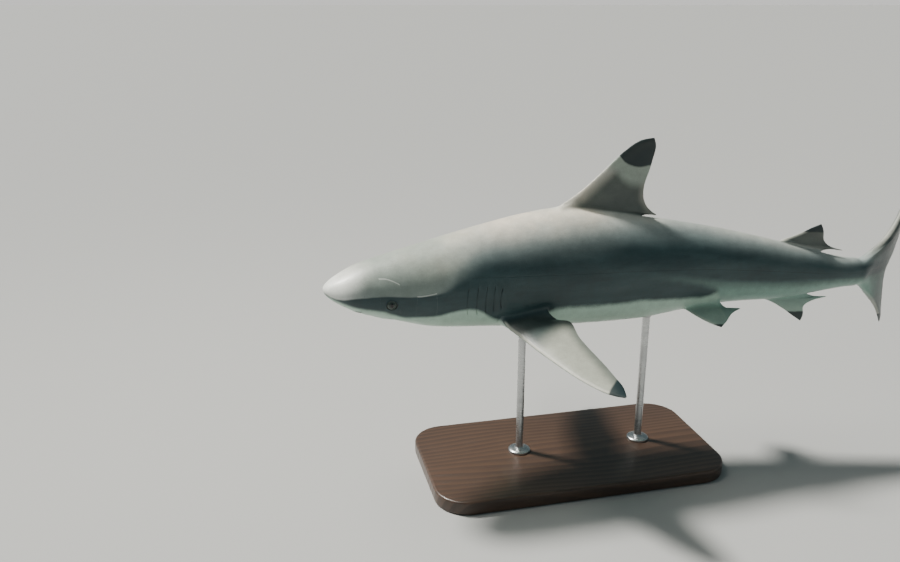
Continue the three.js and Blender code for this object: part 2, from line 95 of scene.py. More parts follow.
def walkSpine(steps=400):
    stations = np.linspace(0, 1, steps + 1)
    heading = np.radians(smoothAt(pose["headings"], (stations[1:] + stations[:-1]) / 2))
    x = np.concatenate([[0], np.cumsum(np.cos(heading))]) / steps
    y = np.concatenate([[0], np.cumsum(np.sin(heading))]) / steps
    home = round(pose["home"] * steps)
    return stations, x - x[home], y - y[home]


spineStations, spineX, spineY = walkSpine()
pitchTurn = np.array(Matrix.Rotation(math.radians(pose["noseUp"]), 3, "Y"))


def bodyAxes(station):  # tailward, leftward and upward directions of the body
    heading = math.radians(float(smoothAt(pose["headings"], station)))
    tail = pitchTurn @ (math.cos(heading), math.sin(heading), 0)
    left = pitchTurn @ (math.sin(heading), -math.cos(heading), 0)
    return tail, left, pitchTurn @ (0, 0, 1)


def posed(places):  # body places, one to a row, to points of the row frame in metres
    station, left, up = np.asarray(places, float).reshape(-1, 3).T
    heading = np.radians(smoothAt(pose["headings"], station))
    x = np.interp(station, spineStations, spineX) + left * np.sin(heading)
    y = np.interp(station, spineStations, spineY) - left * np.cos(heading)
    flat = np.column_stack([x, y, up])
    return flat @ pitchTurn.T * pose["totalLength"] + pose["place"]


def unposed(points):  # the body places of points of the row frame
    flat = (np.asarray(points) - pose["place"]) / pose["totalLength"] @ pitchTurn
    x, y, up = flat.T
    station = np.clip(x + pose["home"], 0, 1)
    for _ in range(24):  # slide each foot along the spine until it is square below
        heading = np.radians(smoothAt(pose["headings"], station))
        aheadX = x - np.interp(station, spineStations, spineX)
        aheadY = y - np.interp(station, spineStations, spineY)
        slide = aheadX * np.cos(heading) + aheadY * np.sin(heading)
        station = np.clip(station + 0.8 * slide, 0, 1)
    left = aheadX * np.sin(heading) - aheadY * np.cos(heading)
    return np.column_stack([station, left, up])


# The camera: a level horizon, above and ahead of the left side

view = {
    "azimuth": -13.383, "elevation": 18.205,                         # degrees
    "distance": 1.104762, "aside": -0.132176, "above": -0.009563,    # shares of the length
    "focalPixels": 851.0, "imageWidth": 900, "sensor": 36.0,         # the sensor in millimetres
    "clip": (0.01, 200),                                             # metres
}


def addCamera():
    azimuth, elevation = math.radians(view["azimuth"]), math.radians(view["elevation"])
    back = Vector((math.sin(azimuth) * math.cos(elevation),
                   -math.cos(azimuth) * math.cos(elevation), math.sin(elevation)))
    right = Vector((0, 0, 1)).cross(back).normalized()
    up = back.cross(right)
    spot = back * view["distance"] + right * view["aside"] + up * view["above"]
    data = bpy.data.cameras.new("camera")
    data.sensor_width = view["sensor"]
    data.lens = view["focalPixels"] / view["imageWidth"] * view["sensor"]
    data.clip_start, data.clip_end = view["clip"]
    camera = bpy.data.objects.new("camera", data)
    turn = Matrix((right, up, back)).transposed().to_4x4()
    place = spot * pose["totalLength"] + Vector(pose["place"])
    camera.matrix_world = Matrix.Translation(place) @ turn
    bpy.context.scene.collection.objects.link(camera)
    bpy.context.scene.camera = camera


addCamera()
print("camera set")

# The body's sections

body = {
    "backHeights": [
        (0, 0.016), (0.02, 0.021), (0.06, 0.0326), (0.12, 0.0478), (0.2, 0.067),
        (0.26, 0.0805), (0.31, 0.0875), (0.36, 0.0835), (0.42, 0.0755), (0.48, 0.0675),
        (0.54, 0.058), (0.62, 0.042), (0.7, 0.0235), (0.735, 0.0203)],
    "bellyHeights": [
        (0, -0.022), (0.02, -0.025), (0.06, -0.0348), (0.12, -0.051), (0.2, -0.059),
        (0.31, -0.065), (0.42, -0.0615), (0.48, -0.051), (0.54, -0.041), (0.62, -0.0345),
        (0.7, -0.0205), (0.735, -0.0183)],
    "halfBreadths": [
        (0, 0.0265), (0.02, 0.0325), (0.05, 0.0375), (0.08, 0.0435), (0.12, 0.05),
        (0.16, 0.0545), (0.21, 0.057), (0.26, 0.0575), (0.31, 0.0565), (0.36, 0.053),
        (0.42, 0.047), (0.48, 0.04), (0.54, 0.033), (0.6, 0.0255), (0.66, 0.0185),
        (0.7, 0.015), (0.735, 0.0128)],
    "broadestDrops": [(0, 0.1), (0.08, 0.22), (0.2, 0.2), (0.35, 0.1), (0.6, 0)],
    "bellySquareness": [(0, 2.1), (0.06, 2.5), (0.3, 2.4), (0.5, 2.2), (0.7, 2)],
    "snoutRounding": 0.047, "snoutBreadthPower": 2, "snoutHeightPower": 1.7,
}


def girdle(station):  # top, bottom, half breadth, broadest height and underside exponent
    fromSnout = np.clip(1 - np.asarray(station) / body["snoutRounding"], 0, 1)
    flatter = np.sqrt(1 - fromSnout ** body["snoutHeightPower"])
    wider = np.sqrt(1 - fromSnout ** body["snoutBreadthPower"])
    back = smoothAt(body["backHeights"], station) * flatter
    belly = smoothAt(body["bellyHeights"], station) * flatter
    halfBreadth = smoothAt(body["halfBreadths"], station) * wider
    drop = smoothAt(body["broadestDrops"], station) * (back - belly) / 2
    exponent = 2 / smoothAt(body["bellySquareness"], station)
    return back, belly, halfBreadth, (back + belly) / 2 - drop, exponent


def sectionPlace(station, degrees):  # a place on the skin: 0 is the back, 90 the left
    back, belly, halfBreadth, broadest, exponent = girdle(station)
    sine, cosine = math.sin(math.radians(degrees)), math.cos(math.radians(degrees))
    if cosine >= 0:
        return station, halfBreadth * sine, broadest + (back - broadest) * cosine
    side = math.copysign(abs(sine) ** exponent, sine)
    return station, halfBreadth * side, broadest - (broadest - belly) * (-cosine) ** exponent


def angleAtHeight(station, up):  # degrees round the section of a height on the left side
    back, belly, _, broadest, exponent = girdle(station)
    if up >= broadest:
        return math.degrees(math.acos(min((up - broadest) / (back - broadest), 1)))
    share = min((broadest - up) / (broadest - belly), 1) ** (1 / exponent)
    return 180 - math.degrees(math.acos(share))


def angleBelow(station, left):  # degrees round of a leftward offset on the underside
    _, _, halfBreadth, _, exponent = girdle(station)
    return 180 - math.degrees(math.asin(min(left / halfBreadth, 1) ** (1 / exponent)))


# The skin's mesh plan: rings along the body, columns round it
# Column 0 runs along the back, column 20 along the belly, and 8 to 12 past the left eye.

columns = 40
middleColumn = columns // 2

eyePlan = {
    "station": 0.0725, "up": -0.0125, "columns": (8, 12),
    "halfLength": 10.6 * millimetre, "halfHeight": 9.4 * millimetre,
    # steps go inward in millimetres, keep a share of the width and slip tailward: here the
    # lid rises, turns in over the eye and drops behind it
    "lidSteps": [(-0.9, 0.965, 0), (-0.5, 0.93, 0), (0.5, 0.91, 0), (1.5, 0.985, 0),
                 (3.0, 1.25, 0), (9.0, 1.02, 0)],
}
mouthPlan = {
    "front": 0.058, "corner": 0.1005, "halfWidth": 0.039,
    "sideCurve": 0.022, "frontCurve": 0.6,
    "gape": 2.6 * millimetre, "cornerGape": 1.0 * millimetre,
    "recess": 2.2 * millimetre, "lipSwell": [1.1, 0.7],
    "sideColumn": 15, "turnShare": 0.5,
    # how much of the mouth's curve the cheek's columns and the rings ahead and behind share
    "cheek": [0.46, 0.12],
    "ahead": [0.86, 0.68, 0.48, 0.28, 0.12, 0.03], "behind": [0.6, 0.28, 0.08],
    "steps": [(1.6, 1, 0), (8.0, 0.99, 0)],
}
nostrilPlan = {
    "station": 0.036, "left": 0.0225, "column": 16,
    "halfLength": 0.0072, "halfWidth": 0.0015, "slant": 0.65,
    "steps": [(-0.35, 0.96, 0), (1.4, 0.9, 0), (4.0, 0.85, 1.0)],
}
gillPlan = {
    "stations": [0.164, 0.1765, 0.1885, 0.199, 0.2085],
    "heights": [0.033, 0.035, 0.035, 0.032, 0.026],
    "middle": -0.012, "bow": 0.0021, "halfWidth": 0.0007, "columns": (8, 12),
    "lifts": {0: 0.25, -1: 0.85, 1: -0.75},  # millimetres: ahead, at its front and at its rear
    "steps": [(1.5, 1, -0.6), (4.5, 1, -2.5)],
}

snoutRings = [0.0035, 0.0062, 0.0098, 0.0142, 0.019, 0.0245]
nostrilRings = [0.0305, 0.0355, 0.0405]
upperJawRings = [0.044, 0.0475, 0.051, 0.0543]
mouthRings = [0.0575, 0.0615]
eyeRings = [0.0659, 0.0692, 0.0725, 0.0758, 0.0791]
cheekRings = [0.0835, 0.0885, 0.0945, 0.1005]
napeRings = [0.107, 0.114, 0.1215, 0.1295, 0.138, 0.147, 0.1558]
gillRings = [
    0.1633, 0.1647, 0.1703, 0.1758, 0.1772, 0.1825, 0.1878, 0.1892, 0.1938, 0.1983, 0.1997,
    0.2038, 0.2078, 0.2092]
pectoralRings = [0.2135, 0.2225, 0.2315, 0.2405, 0.2495, 0.2585, 0.2675, 0.2755]
dorsalRings = [
    0.2985, 0.3075, 0.319, 0.331, 0.344, 0.357, 0.37, 0.383, 0.3955, 0.4055, 0.4125]
pelvicRings = [0.478, 0.487, 0.496, 0.505, 0.514, 0.5215, 0.5285]
rearRings = [0.597, 0.6085, 0.6185, 0.6285, 0.6385, 0.6485, 0.6575, 0.667]
ringStations = (
    snoutRings + nostrilRings + upperJawRings + mouthRings + eyeRings + cheekRings
    + napeRings + gillRings + pectoralRings + [0.2865] + dorsalRings
    + [0.4245, 0.439, 0.4535, 0.467] + pelvicRings + [0.541, 0.555, 0.57, 0.584]
    + rearRings + [0.68, 0.694, 0.707, 0.7175, 0.727, 0.735])
tailShares = [0.1, 0.2, 0.31, 0.42, 0.53, 0.64, 0.74, 0.83, 0.9, 0.95, 0.98, 1]


def ringAt(station):
    return int(np.argmin(np.abs(np.array(ringStations) - station)))


def roundOff(x, y):  # a square of side 2 to a disc of radius 1
    if x == 0 and y == 0:
        return 0.0, 0.0
    if abs(x) > abs(y):
        turn = math.pi / 4 * y / x
        return x * math.cos(turn), x * math.sin(turn)
    turn = math.pi / 2 - math.pi / 4 * x / y
    return y * math.cos(turn), y * math.sin(turn)


# Paired fins: a flat frame of chord and span from a root point

pectoral = {
    "root": (0.215, 0.05, -0.046), "flare": 18, "droop": 17.5, "incidence": 5, "bend": 0.3,
    "column": 15, "halfAngle": 8.5, "rings": (0.2135, 0.2755), "fade": 0.035,
    "lead": [
        (0.0005, -0.001), (0.0008, 0.0005), (0.02, 0.0262), (0.041, 0.0545), (0.0615, 0.079),
        (0.081, 0.1005), (0.103, 0.1195), (0.121, 0.1295), (0.1295, 0.1305)],
    "under": [(0.0606, -0.0145), (0.0655, -0.007), (0.074, -0.0025), (0.0835, 0.0015)],
    "trail": [
        (0.0835, 0.0015), (0.0872, 0.011), (0.0885, 0.022), (0.093, 0.036), (0.1005, 0.053),
        (0.1095, 0.071), (0.118, 0.089), (0.1255, 0.107), (0.1315, 0.123), (0.1295, 0.1305)],
    "underRows": 3, "rows": 10, "leadAtRearTip": 0.2,
    "rootThickness": 0.0155, "tipThickness": 0.003,
}
pelvic = {
    "root": (0.478, 0.023, -0.043), "flare": 6, "droop": 24, "incidence": 4, "bend": 0,
    "column": 16, "halfAngle": 7, "rings": (0.478, 0.5285), "fade": 0.03,
    "lead": [(0.0, -0.001), (0.001, 0.0005), (0.015, 0.0175), (0.03, 0.0315), (0.0415, 0.0385)],
    "under": [(0.0495, -0.003), (0.0535, 0.0015), (0.076, 0.005)],
    "trail": [(0.076, 0.005), (0.062, 0.014), (0.0515, 0.0275), (0.0415, 0.0385)],
    "underRows": 3, "rows": 6, "leadAtRearTip": 0.26,
    "rootThickness": 0.0075, "tipThickness": 0.002,
}


def pairedFrame(plan):  # start, chord, span and face directions of the left fin
    tail, out, rising = bodyAxes(plan["root"][0])
    flare, droop = math.radians(plan["flare"]), math.radians(plan["droop"])
    incidence = math.radians(plan["incidence"])
    chord = ((tail * math.cos(flare) + out * math.sin(flare)) * math.cos(incidence)
             + rising * math.sin(incidence))
    drooped = out * math.cos(droop) - rising * math.sin(droop)
    span = drooped - chord * drooped.dot(chord)
    span /= np.linalg.norm(span)
    face = np.cross(chord, span)
    return posed([plan["root"]])[0], chord, span, face * math.copysign(1, face[2])


def pairedPlace(plan, chord, span, offset):  # a body place of the left fin
    start, chordLine, spanLine, faceLine = pairedFrame(plan)
    lift = offset - plan["bend"] * max(span, 0) ** 2
    point = start + (chordLine * chord + spanLine * span + faceLine * lift) * pose["totalLength"]
    return unposed([point])[0]


def rootAngle(plan, station):  # where the fin's plane leaves the skin, in degrees round
    start, _, _, faceLine = pairedFrame(plan)
    low, high = 95.0, 170.0
    for _ in range(24):
        middle = (low + high) / 2
        above = (posed([sectionPlace(station, middle)])[0] - start).dot(faceLine) > 0
        low, high = (middle, high) if above else (low, middle)
    return low


# Places of the rings' points on the left half

def anchoredAngles(anchors):
    anchors = {0: 0, middleColumn: 180, **anchors}
    at = sorted(anchors)
    return np.interp(range(middleColumn + 1), at, [anchors[column] for column in at])


def columnAngles(station):
    natural = anchoredAngles({})
    angles = natural.copy()

    def pull(anchors, first, last, fade):  # columns move to their anchors near some rings
        weight = rise(station, first - fade, first) * (1 - rise(station, last, last + fade))
        angles[:] += (anchoredAngles(anchors) - natural) * float(weight)

    near = float(np.clip(station, eyeRings[0], eyeRings[-1]))
    top, middle, low = (angleAtHeight(near, eyePlan["up"] + share * eyePlan["halfHeight"])
                        for share in (1, 0, -1))
    pull({8: top, 10: middle, 12: low, 15: 134}, eyeRings[0], eyeRings[-1], 0.03)

    near = float(np.clip(station, gillRings[0], gillRings[-1]))
    half = float(smoothAt(list(zip(gillPlan["stations"], gillPlan["heights"])), near)) / 2
    top, low = (angleAtHeight(near, gillPlan["middle"] + share * half) for share in (1, -1))
    pull({8: top, 12: low}, gillRings[0], gillRings[-1], 0.022)

    for plan in (pectoral, pelvic):
        first, last = plan["rings"]
        column, half = plan["column"], plan["halfAngle"]
        root = rootAngle(plan, float(np.clip(station, first, last)))
        anchors = {column - 1: root - half, column: root, column + 1: root + half}
        anchors[8] = between(72, 72 * root / (9 * column), 0.6)
        pull(anchors, first, last, plan["fade"])
    return angles


def onMouth(share, inset=0.0):  # (station, angle) on the lip, from its middle to its corner
    half, front = mouthPlan["halfWidth"] - inset, mouthPlan["front"] + inset
    corners = [(front, 0), (front, mouthPlan["frontCurve"] * half),
               (mouthPlan["corner"] - mouthPlan["sideCurve"], half), (mouthPlan["corner"], half)]
    weights = [(1 - share) ** 3, 3 * share * (1 - share) ** 2, 3 * share ** 2 * (1 - share),
               share ** 3]
    station, left = np.array(weights) @ np.array(corners)
    return station, angleBelow(station, left)


def planMouth(stations, angles):
    first, last = ringAt(mouthRings[0]), ringAt(mouthPlan["corner"])
    side, turn = mouthPlan["sideColumn"], mouthPlan["turnShare"]
    straight = np.stack([stations, angles])
    plan = straight.copy()
    for column in range(side, middleColumn + 1):  # the upper lip, to where it turns back
        plan[:, first, column] = onMouth(turn * (middleColumn - column) / (middleColumn - side))
    for ring in range(first + 1, last + 1):       # the upper lip's side, back to the corner
        plan[:, ring, side] = onMouth(between(turn, 1, (ring - first) / (last - first)))
    for column in range(side + 1, middleColumn + 1):  # the lower lip
        share = turn * (middleColumn - column) / (middleColumn - side - 1)
        plan[:, first + 1, column] = onMouth(share, mouthPlan["gape"])
    for ring in range(first + 2, last + 1):
        share = between(turn, 1, (ring - first - 1) / (last - first - 1))
        inset = between(mouthPlan["gape"], mouthPlan["cornerGape"], rise(share, turn, 1))
        plan[:, ring, side + 1] = onMouth(share, inset)

    # the lower jaw inside the lip, then the cheek outside it and the rings before and behind
    frontLip = plan[:, first + 1, :].copy()
    for ring in range(first + 2, last + 1):
        back = (ring - first - 1) / (last - first - 1)
        middle = np.array([between(frontLip[0, middleColumn], mouthPlan["corner"], back), 180])
        edge = plan[:, ring, side + 1]
        for column in range(side + 2, middleColumn + 1):
            across = (column - side - 1) / (middleColumn - side - 1)
            bow = frontLip[:, column] - between(frontLip[:, side + 1], frontLip[:, -1], across)
            plan[:, ring, column] = between(edge, middle, across) + bow * (1 - back) ** 2
    shift = (plan - straight)[:, first:last + 1, side]
    for step, share in enumerate(mouthPlan["cheek"], 1):
        plan[:, first:last + 1, side - step] += shift * share
    for ring, onward, shares in ((first, -1, mouthPlan["ahead"]), (last, 1, mouthPlan["behind"])):
        shift = (plan - straight)[:, ring, side - 2:]
        for step, share in enumerate(shares, 1):
            plan[:, ring + onward * step, side - 2:] += shift * share
    return plan


def planBody():  # body places of the left half, by ring and column
    angles = np.array([columnAngles(station) for station in ringStations])
    stations = np.repeat(np.array(ringStations)[:, None], middleColumn + 1, axis=1)
    stations, angles = planMouth(stations, angles)

    eyeRing, eyeColumn = ringAt(eyePlan["station"]), sum(eyePlan["columns"]) // 2
    for ring in range(eyeRing - 2, eyeRing + 3):
        for column in range(eyeColumn - 2, eyeColumn + 3):
            x, y = roundOff((ring - eyeRing) / 2, (column - eyeColumn) / 2)
            stations[ring, column] = eyePlan["station"] + x * eyePlan["halfLength"]
            up = eyePlan["up"] - y * eyePlan["halfHeight"]
            angles[ring, column] = angleAtHeight(stations[ring, column], up)

    nostrilRing, nostrilColumn = ringAt(nostrilRings[1]), nostrilPlan["column"]
    for ring in range(nostrilRing - 1, nostrilRing + 2):
        for column in range(nostrilColumn - 1, nostrilColumn + 2):
            x, y = roundOff(nostrilColumn - column, ring - nostrilRing)
            along, across = x * nostrilPlan["halfLength"], y * nostrilPlan["halfWidth"]
            station = nostrilPlan["station"] + along * nostrilPlan["slant"] + across
            left = nostrilPlan["left"] + along - across * nostrilPlan["slant"]
            stations[ring, column], angles[ring, column] = station, angleBelow(station, left)

    for ring, column, fromMiddle, _ in gillEdges():  # each slit bows back at its ends
        stations[ring, column] += gillPlan["bow"] * (fromMiddle ** 2 - 0.4)
    places = np.array([
        [sectionPlace(station, angle) for station, angle in zip(*row)]
        for row in zip(stations, angles)])
    shapeJaw(places)
    shapeGillCovers(places)
    shapeStalk(places)
    return places


def shapeJaw(places):  # the lower jaw shuts inside the upper lip, which swells a little
    first, last = ringAt(mouthRings[0]), ringAt(mouthPlan["corner"])
    side = mouthPlan["sideColumn"]
    for ring in range(first + 1, last + 5):
        for column in range(side + 1, middleColumn + 1):
            inside = min(ring - first - 1, (column - side - 1) * 1.3)
            fade = (1 - rise(inside, 0, 7)) * (1 - rise(ring, last - 1, last + 4))
            places[ring, column, 2] += mouthPlan["recess"] * fade
    for step, swell in enumerate(mouthPlan["lipSwell"]):
        places[first - step, side:, 2] -= swell * millimetre
        for ring in range(first + 1, last + 1):
            full = swell * (1 - rise(ring, last - 3, last + 0.5)) * millimetre
            places[ring, side - step, 1:] += (0.6 * full, -0.8 * full)


def gillEdges():  # ring, column, place from middle to end, and edge of every slit's points
    first, last = gillPlan["columns"]
    for station in gillPlan["stations"]:
        for edge in (-1, 1):
            ring = ringAt(station + edge * gillPlan["halfWidth"])
            for column in range(first, last + 1):
                yield ring, column, (column - (first + last) / 2) / ((last - first) / 2), edge


def shapeGillCovers(places):  # each cover's rear edge stands over the slit behind it
    for ring, column, fromMiddle, edge in gillEdges():
        full = (1 - 0.6 * fromMiddle ** 2) * millimetre
        places[ring, column, 1] += gillPlan["lifts"][edge] * full
        if edge < 0:
            places[ring - 1, column, 1] += gillPlan["lifts"][0] * full


def shapeStalk(places):  # the shallow pits above and below the root of the tail fin
    for back, depth in ((0, 1.5), (1, 1.0)):
        for column, share in ((0, 1), (1, 0.7), (2, 0.2)):
            places[-1 - back, column, 2] -= depth * share * millimetre
            places[-1 - back, middleColumn - column, 2] += 0.6 * depth * share * millimetre


# The tail: the rings fan out from the stalk into both lobes

tailPlan = {
    "upperLead": [(0.735, 0.0203), (0.744, 0.0232), (0.76, 0.0345), (0.79, 0.0535), (0.84, 0.087),
                  (0.9, 0.128), (0.94, 0.1565), (0.956, 0.169)],
    "lowerLead": [(0.735, -0.0183), (0.743, -0.0225), (0.758, -0.0345), (0.79, -0.061),
                  (0.8145, -0.083), (0.8275, -0.0915)],
    # the rear edge from the upper tip past the notch and the fork, one point a column
    "trail": [
        (0.956, 0.169), (0.9605, 0.155), (0.9585, 0.1385), (0.9385, 0.1268), (0.9185, 0.1145),
        (0.9175, 0.1), (0.892, 0.0775), (0.865, 0.054), (0.845, 0.0372), (0.827, 0.0215),
        (0.811, 0.009), (0.801, -0.001), (0.7985, -0.013), (0.8, -0.0245), (0.8035, -0.036),
        (0.8085, -0.048), (0.8135, -0.06), (0.82, -0.0715), (0.8262, -0.081), (0.8285, -0.0875),
        (0.8275, -0.0915)],
    "halfThickness": [(0, 0.0128), (0.1, 0.0098), (0.2, 0.0074), (0.31, 0.0058), (0.5, 0.004),
                      (0.74, 0.0025), (0.9, 0.0015), (0.98, 0.0008), (1, 0)],
    "edgeRun": 0.13, "slabFrom": 0.35,  # the stalk's oval turns to a slab with rounded edges
}


def planTail(start):
    trail = np.array(tailPlan["trail"])
    rings = []
    for share in tailShares:
        upper = smoothLine(tailPlan["upperLead"], share)
        lower = smoothLine(tailPlan["lowerLead"], share)
        halfThick = smoothAt(tailPlan["halfThickness"], share)
        ring = []
        for column in range(middleColumn + 1):
            across = column / middleColumn
            flat = between(start[column, [0, 2]], trail[column], share)
            flat += (1 - across) * (upper - between(start[0, [0, 2]], trail[0], share))
            flat += across * (lower - between(start[-1, [0, 2]], trail[-1], share))
            fromEdge = min(min(across, 1 - across) / tailPlan["edgeRun"], 1)
            oval, slab = math.sin(math.pi * across), math.sqrt(1 - (1 - fromEdge) ** 2)
            profile = between(oval, slab, rise(share, 0, tailPlan["slabFrom"]))
            ring.append((flat[0], profile * halfThick, flat[1]))
        rings.append(ring)
    return np.array(rings)


def wrapRound(half):  # the left half's places, mirrored to go all the way round
    right = half[:, middleColumn - 1::-1] * (1, -1, 1)
    return np.concatenate([half, right], axis=1)


# Building the cage

cage = bmesh.new()
ringTag = cage.verts.layers.int.new("ring")
columnTag = cage.verts.layers.int.new("column")
hollowTag = cage.verts.layers.float.new("hollow")
finTag = cage.verts.layers.float.new("onFin")


def faceOutward(made):
    made.normal_update()
    bmesh.ops.recalc_face_normals(made, faces=made.faces[:])
    if made.calc_volume(signed=True) < 0:
        bmesh.ops.reverse_faces(made, faces=made.faces[:])
    made.normal_update()


def buildShell():
    trunk = planBody()
    rings = wrapRound(np.concatenate([trunk, planTail(trunk[-1])]))
    points = posed(rings).reshape(len(rings), columns + 1, 3)
    made = bmesh.ops.create_grid(cage, x_segments=columns, y_segments=len(rings) - 1, size=1)
    for number, vert in enumerate(made["verts"]):
        ring, column = divmod(number, columns + 1)
        vert.co = points[ring, column]
        vert[ringTag], vert[columnTag] = ring, column % columns

    # the snout's cap is a square grid drawn to a disc, so that it has no pole
    side = columns // 4
    reach = 1 - ringStations[0] / body["snoutRounding"]
    made = bmesh.ops.create_grid(cage, x_segments=side, y_segments=side, size=1)
    for number, vert in enumerate(made["verts"]):
        row, column = divmod(number, side + 1)
        x, y = roundOff(2 * column / side - 1, 2 * row / side - 1)
        radius = math.hypot(x, y)
        opened = radius ** 2 * (1 - reach ** body["snoutBreadthPower"])
        station = body["snoutRounding"] * (1 - math.sqrt(1 - opened))
        angle = math.degrees(math.atan2(x, y))
        if radius < 1e-9:
            place = (0, 0, 0)
        else:
            place = sectionPlace(station, (angle + 180) % 360 - 180)
        vert.co = posed([place])[0]
        vert[ringTag] = -1
    bmesh.ops.remove_doubles(cage, verts=cage.verts[:], dist=1e-6)
    bmesh.ops.recalc_face_normals(cage, faces=cage.faces[:])


def patch(rings, firstColumn, lastColumn):  # the faces between two rings and two columns
    inRings = range(rings[0], rings[1] + 1)
    inColumns = [column % columns for column in range(firstColumn, lastColumn + 1)]
    return [face for face in cage.faces if all(
        vert[ringTag] in inRings and vert[columnTag] in inColumns for vert in face.verts)]


def drawOut(faces):  # extrudes the faces as one region, and gives its new faces and points
    made = bmesh.ops.extrude_face_region(cage, geom=faces)["geom"]
    bmesh.ops.delete(cage, geom=faces, context="FACES")
    return ([item for item in made if isinstance(item, bmesh.types.BMFace)],
            [item for item in made if isinstance(item, bmesh.types.BMVert)])


buildShell()
print("shell built:", len(cage.faces), "faces")

# Fins, drawn out of the shell row by row

firstDorsal = {
    "column": 0, "rings": (0.2985, 0.4125),
    "lead": [
        (0.3005, 0.0885), (0.304, 0.0905), (0.329, 0.1078), (0.354, 0.1308), (0.378, 0.1548),
        (0.3925, 0.167), (0.406, 0.1745), (0.4205, 0.177)],
    "under": [(0.4125, 0.0775), (0.4375, 0.0775)],
    "trail": [
        (0.4375, 0.0775), (0.4255, 0.0848), (0.4165, 0.0975), (0.415, 0.117), (0.419, 0.1325),
        (0.423, 0.152), (0.4252, 0.168), (0.4245, 0.1745), (0.4205, 0.177)],
    "underRows": 3, "rows": 10, "leadAtRearTip": 0.11,
    "rootThickness": 0.0135, "tipThickness": 0.003,
}
secondDorsal = {
    "column": 0, "rings": (0.6085, 0.667),
    "lead": [(0.6095, 0.0455), (0.6237, 0.0505), (0.638, 0.0565), (0.652, 0.0637), (0.664, 0.0685)],
    "under": [(0.6675, 0.0345), (0.704, 0.032)],
    "trail": [(0.704, 0.032), (0.683, 0.0375), (0.6715, 0.0465), (0.669, 0.059), (0.664, 0.0685)],
    "underRows": 3, "rows": 6, "leadAtRearTip": 0.12,
    "rootThickness": 0.007, "tipThickness": 0.0018,
}
analFin = {
    "column": middleColumn, "side": -1, "rings": (0.597, 0.6575),
    "lead": [(0.598, -0.0368), (0.61, -0.0405), (0.628, -0.05), (0.645, -0.061), (0.6575, -0.0685)],
    "under": [(0.658, -0.0315), (0.692, -0.0335)],
    "trail": [
        (0.692, -0.0335), (0.67, -0.039), (0.6585, -0.0475), (0.66, -0.06), (0.6575, -0.0685)],
    "underRows": 3, "rows": 6, "leadAtRearTip": 0.12,
    "rootThickness": 0.007, "tipThickness": 0.0018,
}
finSection = {
    "edge": 0.7 * millimetre, "edgeRun": 0.11, "mostForChord": 0.16, "thinning": 1.4,
    "lastRow": 0.985, "columns": (0.11, 0.93),
}


def halfThickness(share, thickness):  # of a fin at a share of its chord, fullest at a third
    wing = math.sqrt(share) * (1 - share) / (math.sqrt(1 / 3) * (2 / 3))
    blunt = min(1, share * (1 - share) / finSection["edgeRun"])
    return thickness / 2 * wing + finSection["edge"] / 2 * blunt


def growFin(plan, place, flatten):  # place() puts chord, span, offset; flatten() undoes it
    first, last = (ringAt(station) for station in plan["rings"])
    column, side = plan["column"], plan.get("side", 1)
    faces = patch((first, last), column - 1, column + 1)
    root = {vert[ringTag]: flatten(vert.co) for face in faces for vert in face.verts
            if vert[columnTag] == column}
    total = plan["underRows"] + plan["rows"]
    for row in range(1, total + 1):
        if row <= plan["underRows"]:
            run = row / plan["underRows"]
            trail = smoothLine(plan["under"], run)
            lead = smoothLine(plan["lead"], plan["leadAtRearTip"] * run)
        else:
            run = finSection["lastRow"] * (row - plan["underRows"]) / plan["rows"]
            trail = smoothLine(plan["trail"], run)
            lead = smoothLine(plan["lead"], between(plan["leadAtRearTip"], 1, run))
        out = row / total
        chord = math.dist(lead, trail)
        thinned = (1 - out) ** finSection["thinning"]
        full = between(plan["tipThickness"], plan["rootThickness"], thinned)
        full = min(full, finSection["mostForChord"] * chord)
        faces, verts = drawOut(faces)
        for vert in verts:
            ring = vert[ringTag]
            along = (ring - first) / (last - first)
            rootLine = between(root[first], root[last], along)
            sag = (root[ring] - rootLine) * (1 - out) ** 3
            across = (vert[columnTag] - column + columns // 2) % columns - columns // 2
            if across == 0 and ring in (first, last):
                share, offset = along, 0
            else:
                turn = between(*finSection["columns"], along)
                share = (1 - math.cos(math.pi * turn)) / 2
                offset = -across * side * halfThickness(share, full)
            chordPlace, spanPlace = between(lead, trail, share) + sag
            vert.co = place(chordPlace, spanPlace, offset)
            vert[finTag] = out


def pairedPlacers(plan, side):  # place() and flatten() of the left fin, side 1, or the right
    start, chordLine, spanLine, _ = pairedFrame(plan)
    mirror = (1, side, 1)

    def place(chord, span, offset):
        return posed([pairedPlace(plan, chord, span, offset) * mirror])[0]

    def flatten(point):
        away = (posed(unposed([point]) * mirror)[0] - start) / pose["totalLength"]
        return np.array([away.dot(chordLine), away.dot(spanLine)])

    return place, flatten


def growFins():
    def onMiddle(station, up, offset):
        return posed([(station, -offset, up)])[0]

    def offMiddle(point):
        return unposed([point])[0][[0, 2]]

    for plan in (firstDorsal, secondDorsal, analFin):
        growFin(plan, onMiddle, offMiddle)
    for plan in (pectoral, pelvic):
        growFin(plan, *pairedPlacers(plan, 1))
        mirrored = {**plan, "column": columns - plan["column"], "side": -1}
        growFin(mirrored, *pairedPlacers(plan, -1))


growFins()
print("fins grown:", len(cage.faces), "faces")


# Openings, sunk into the shell

def sink(faces, steps):  # each step: inward, share of the width kept, tailward
    centre = sum((face.calc_center_median() for face in faces), Vector()) / len(faces)
    inward = -sum((face.normal * face.calc_area() for face in faces), Vector()).normalized()
    tailward = Vector(bodyAxes(unposed([centre])[0][0])[0])
    for number, (depth, kept, back) in enumerate(steps):
        faces, verts = drawOut(faces)
        for vert in verts:
            vert.co = centre + (vert.co - centre) * kept
            vert.co += (inward * depth + tailward * back) * 0.001
            if depth > 0:
                vert[hollowTag] = (number + 1) / len(steps)
        centre = centre + (inward * depth + tailward * back) * 0.001


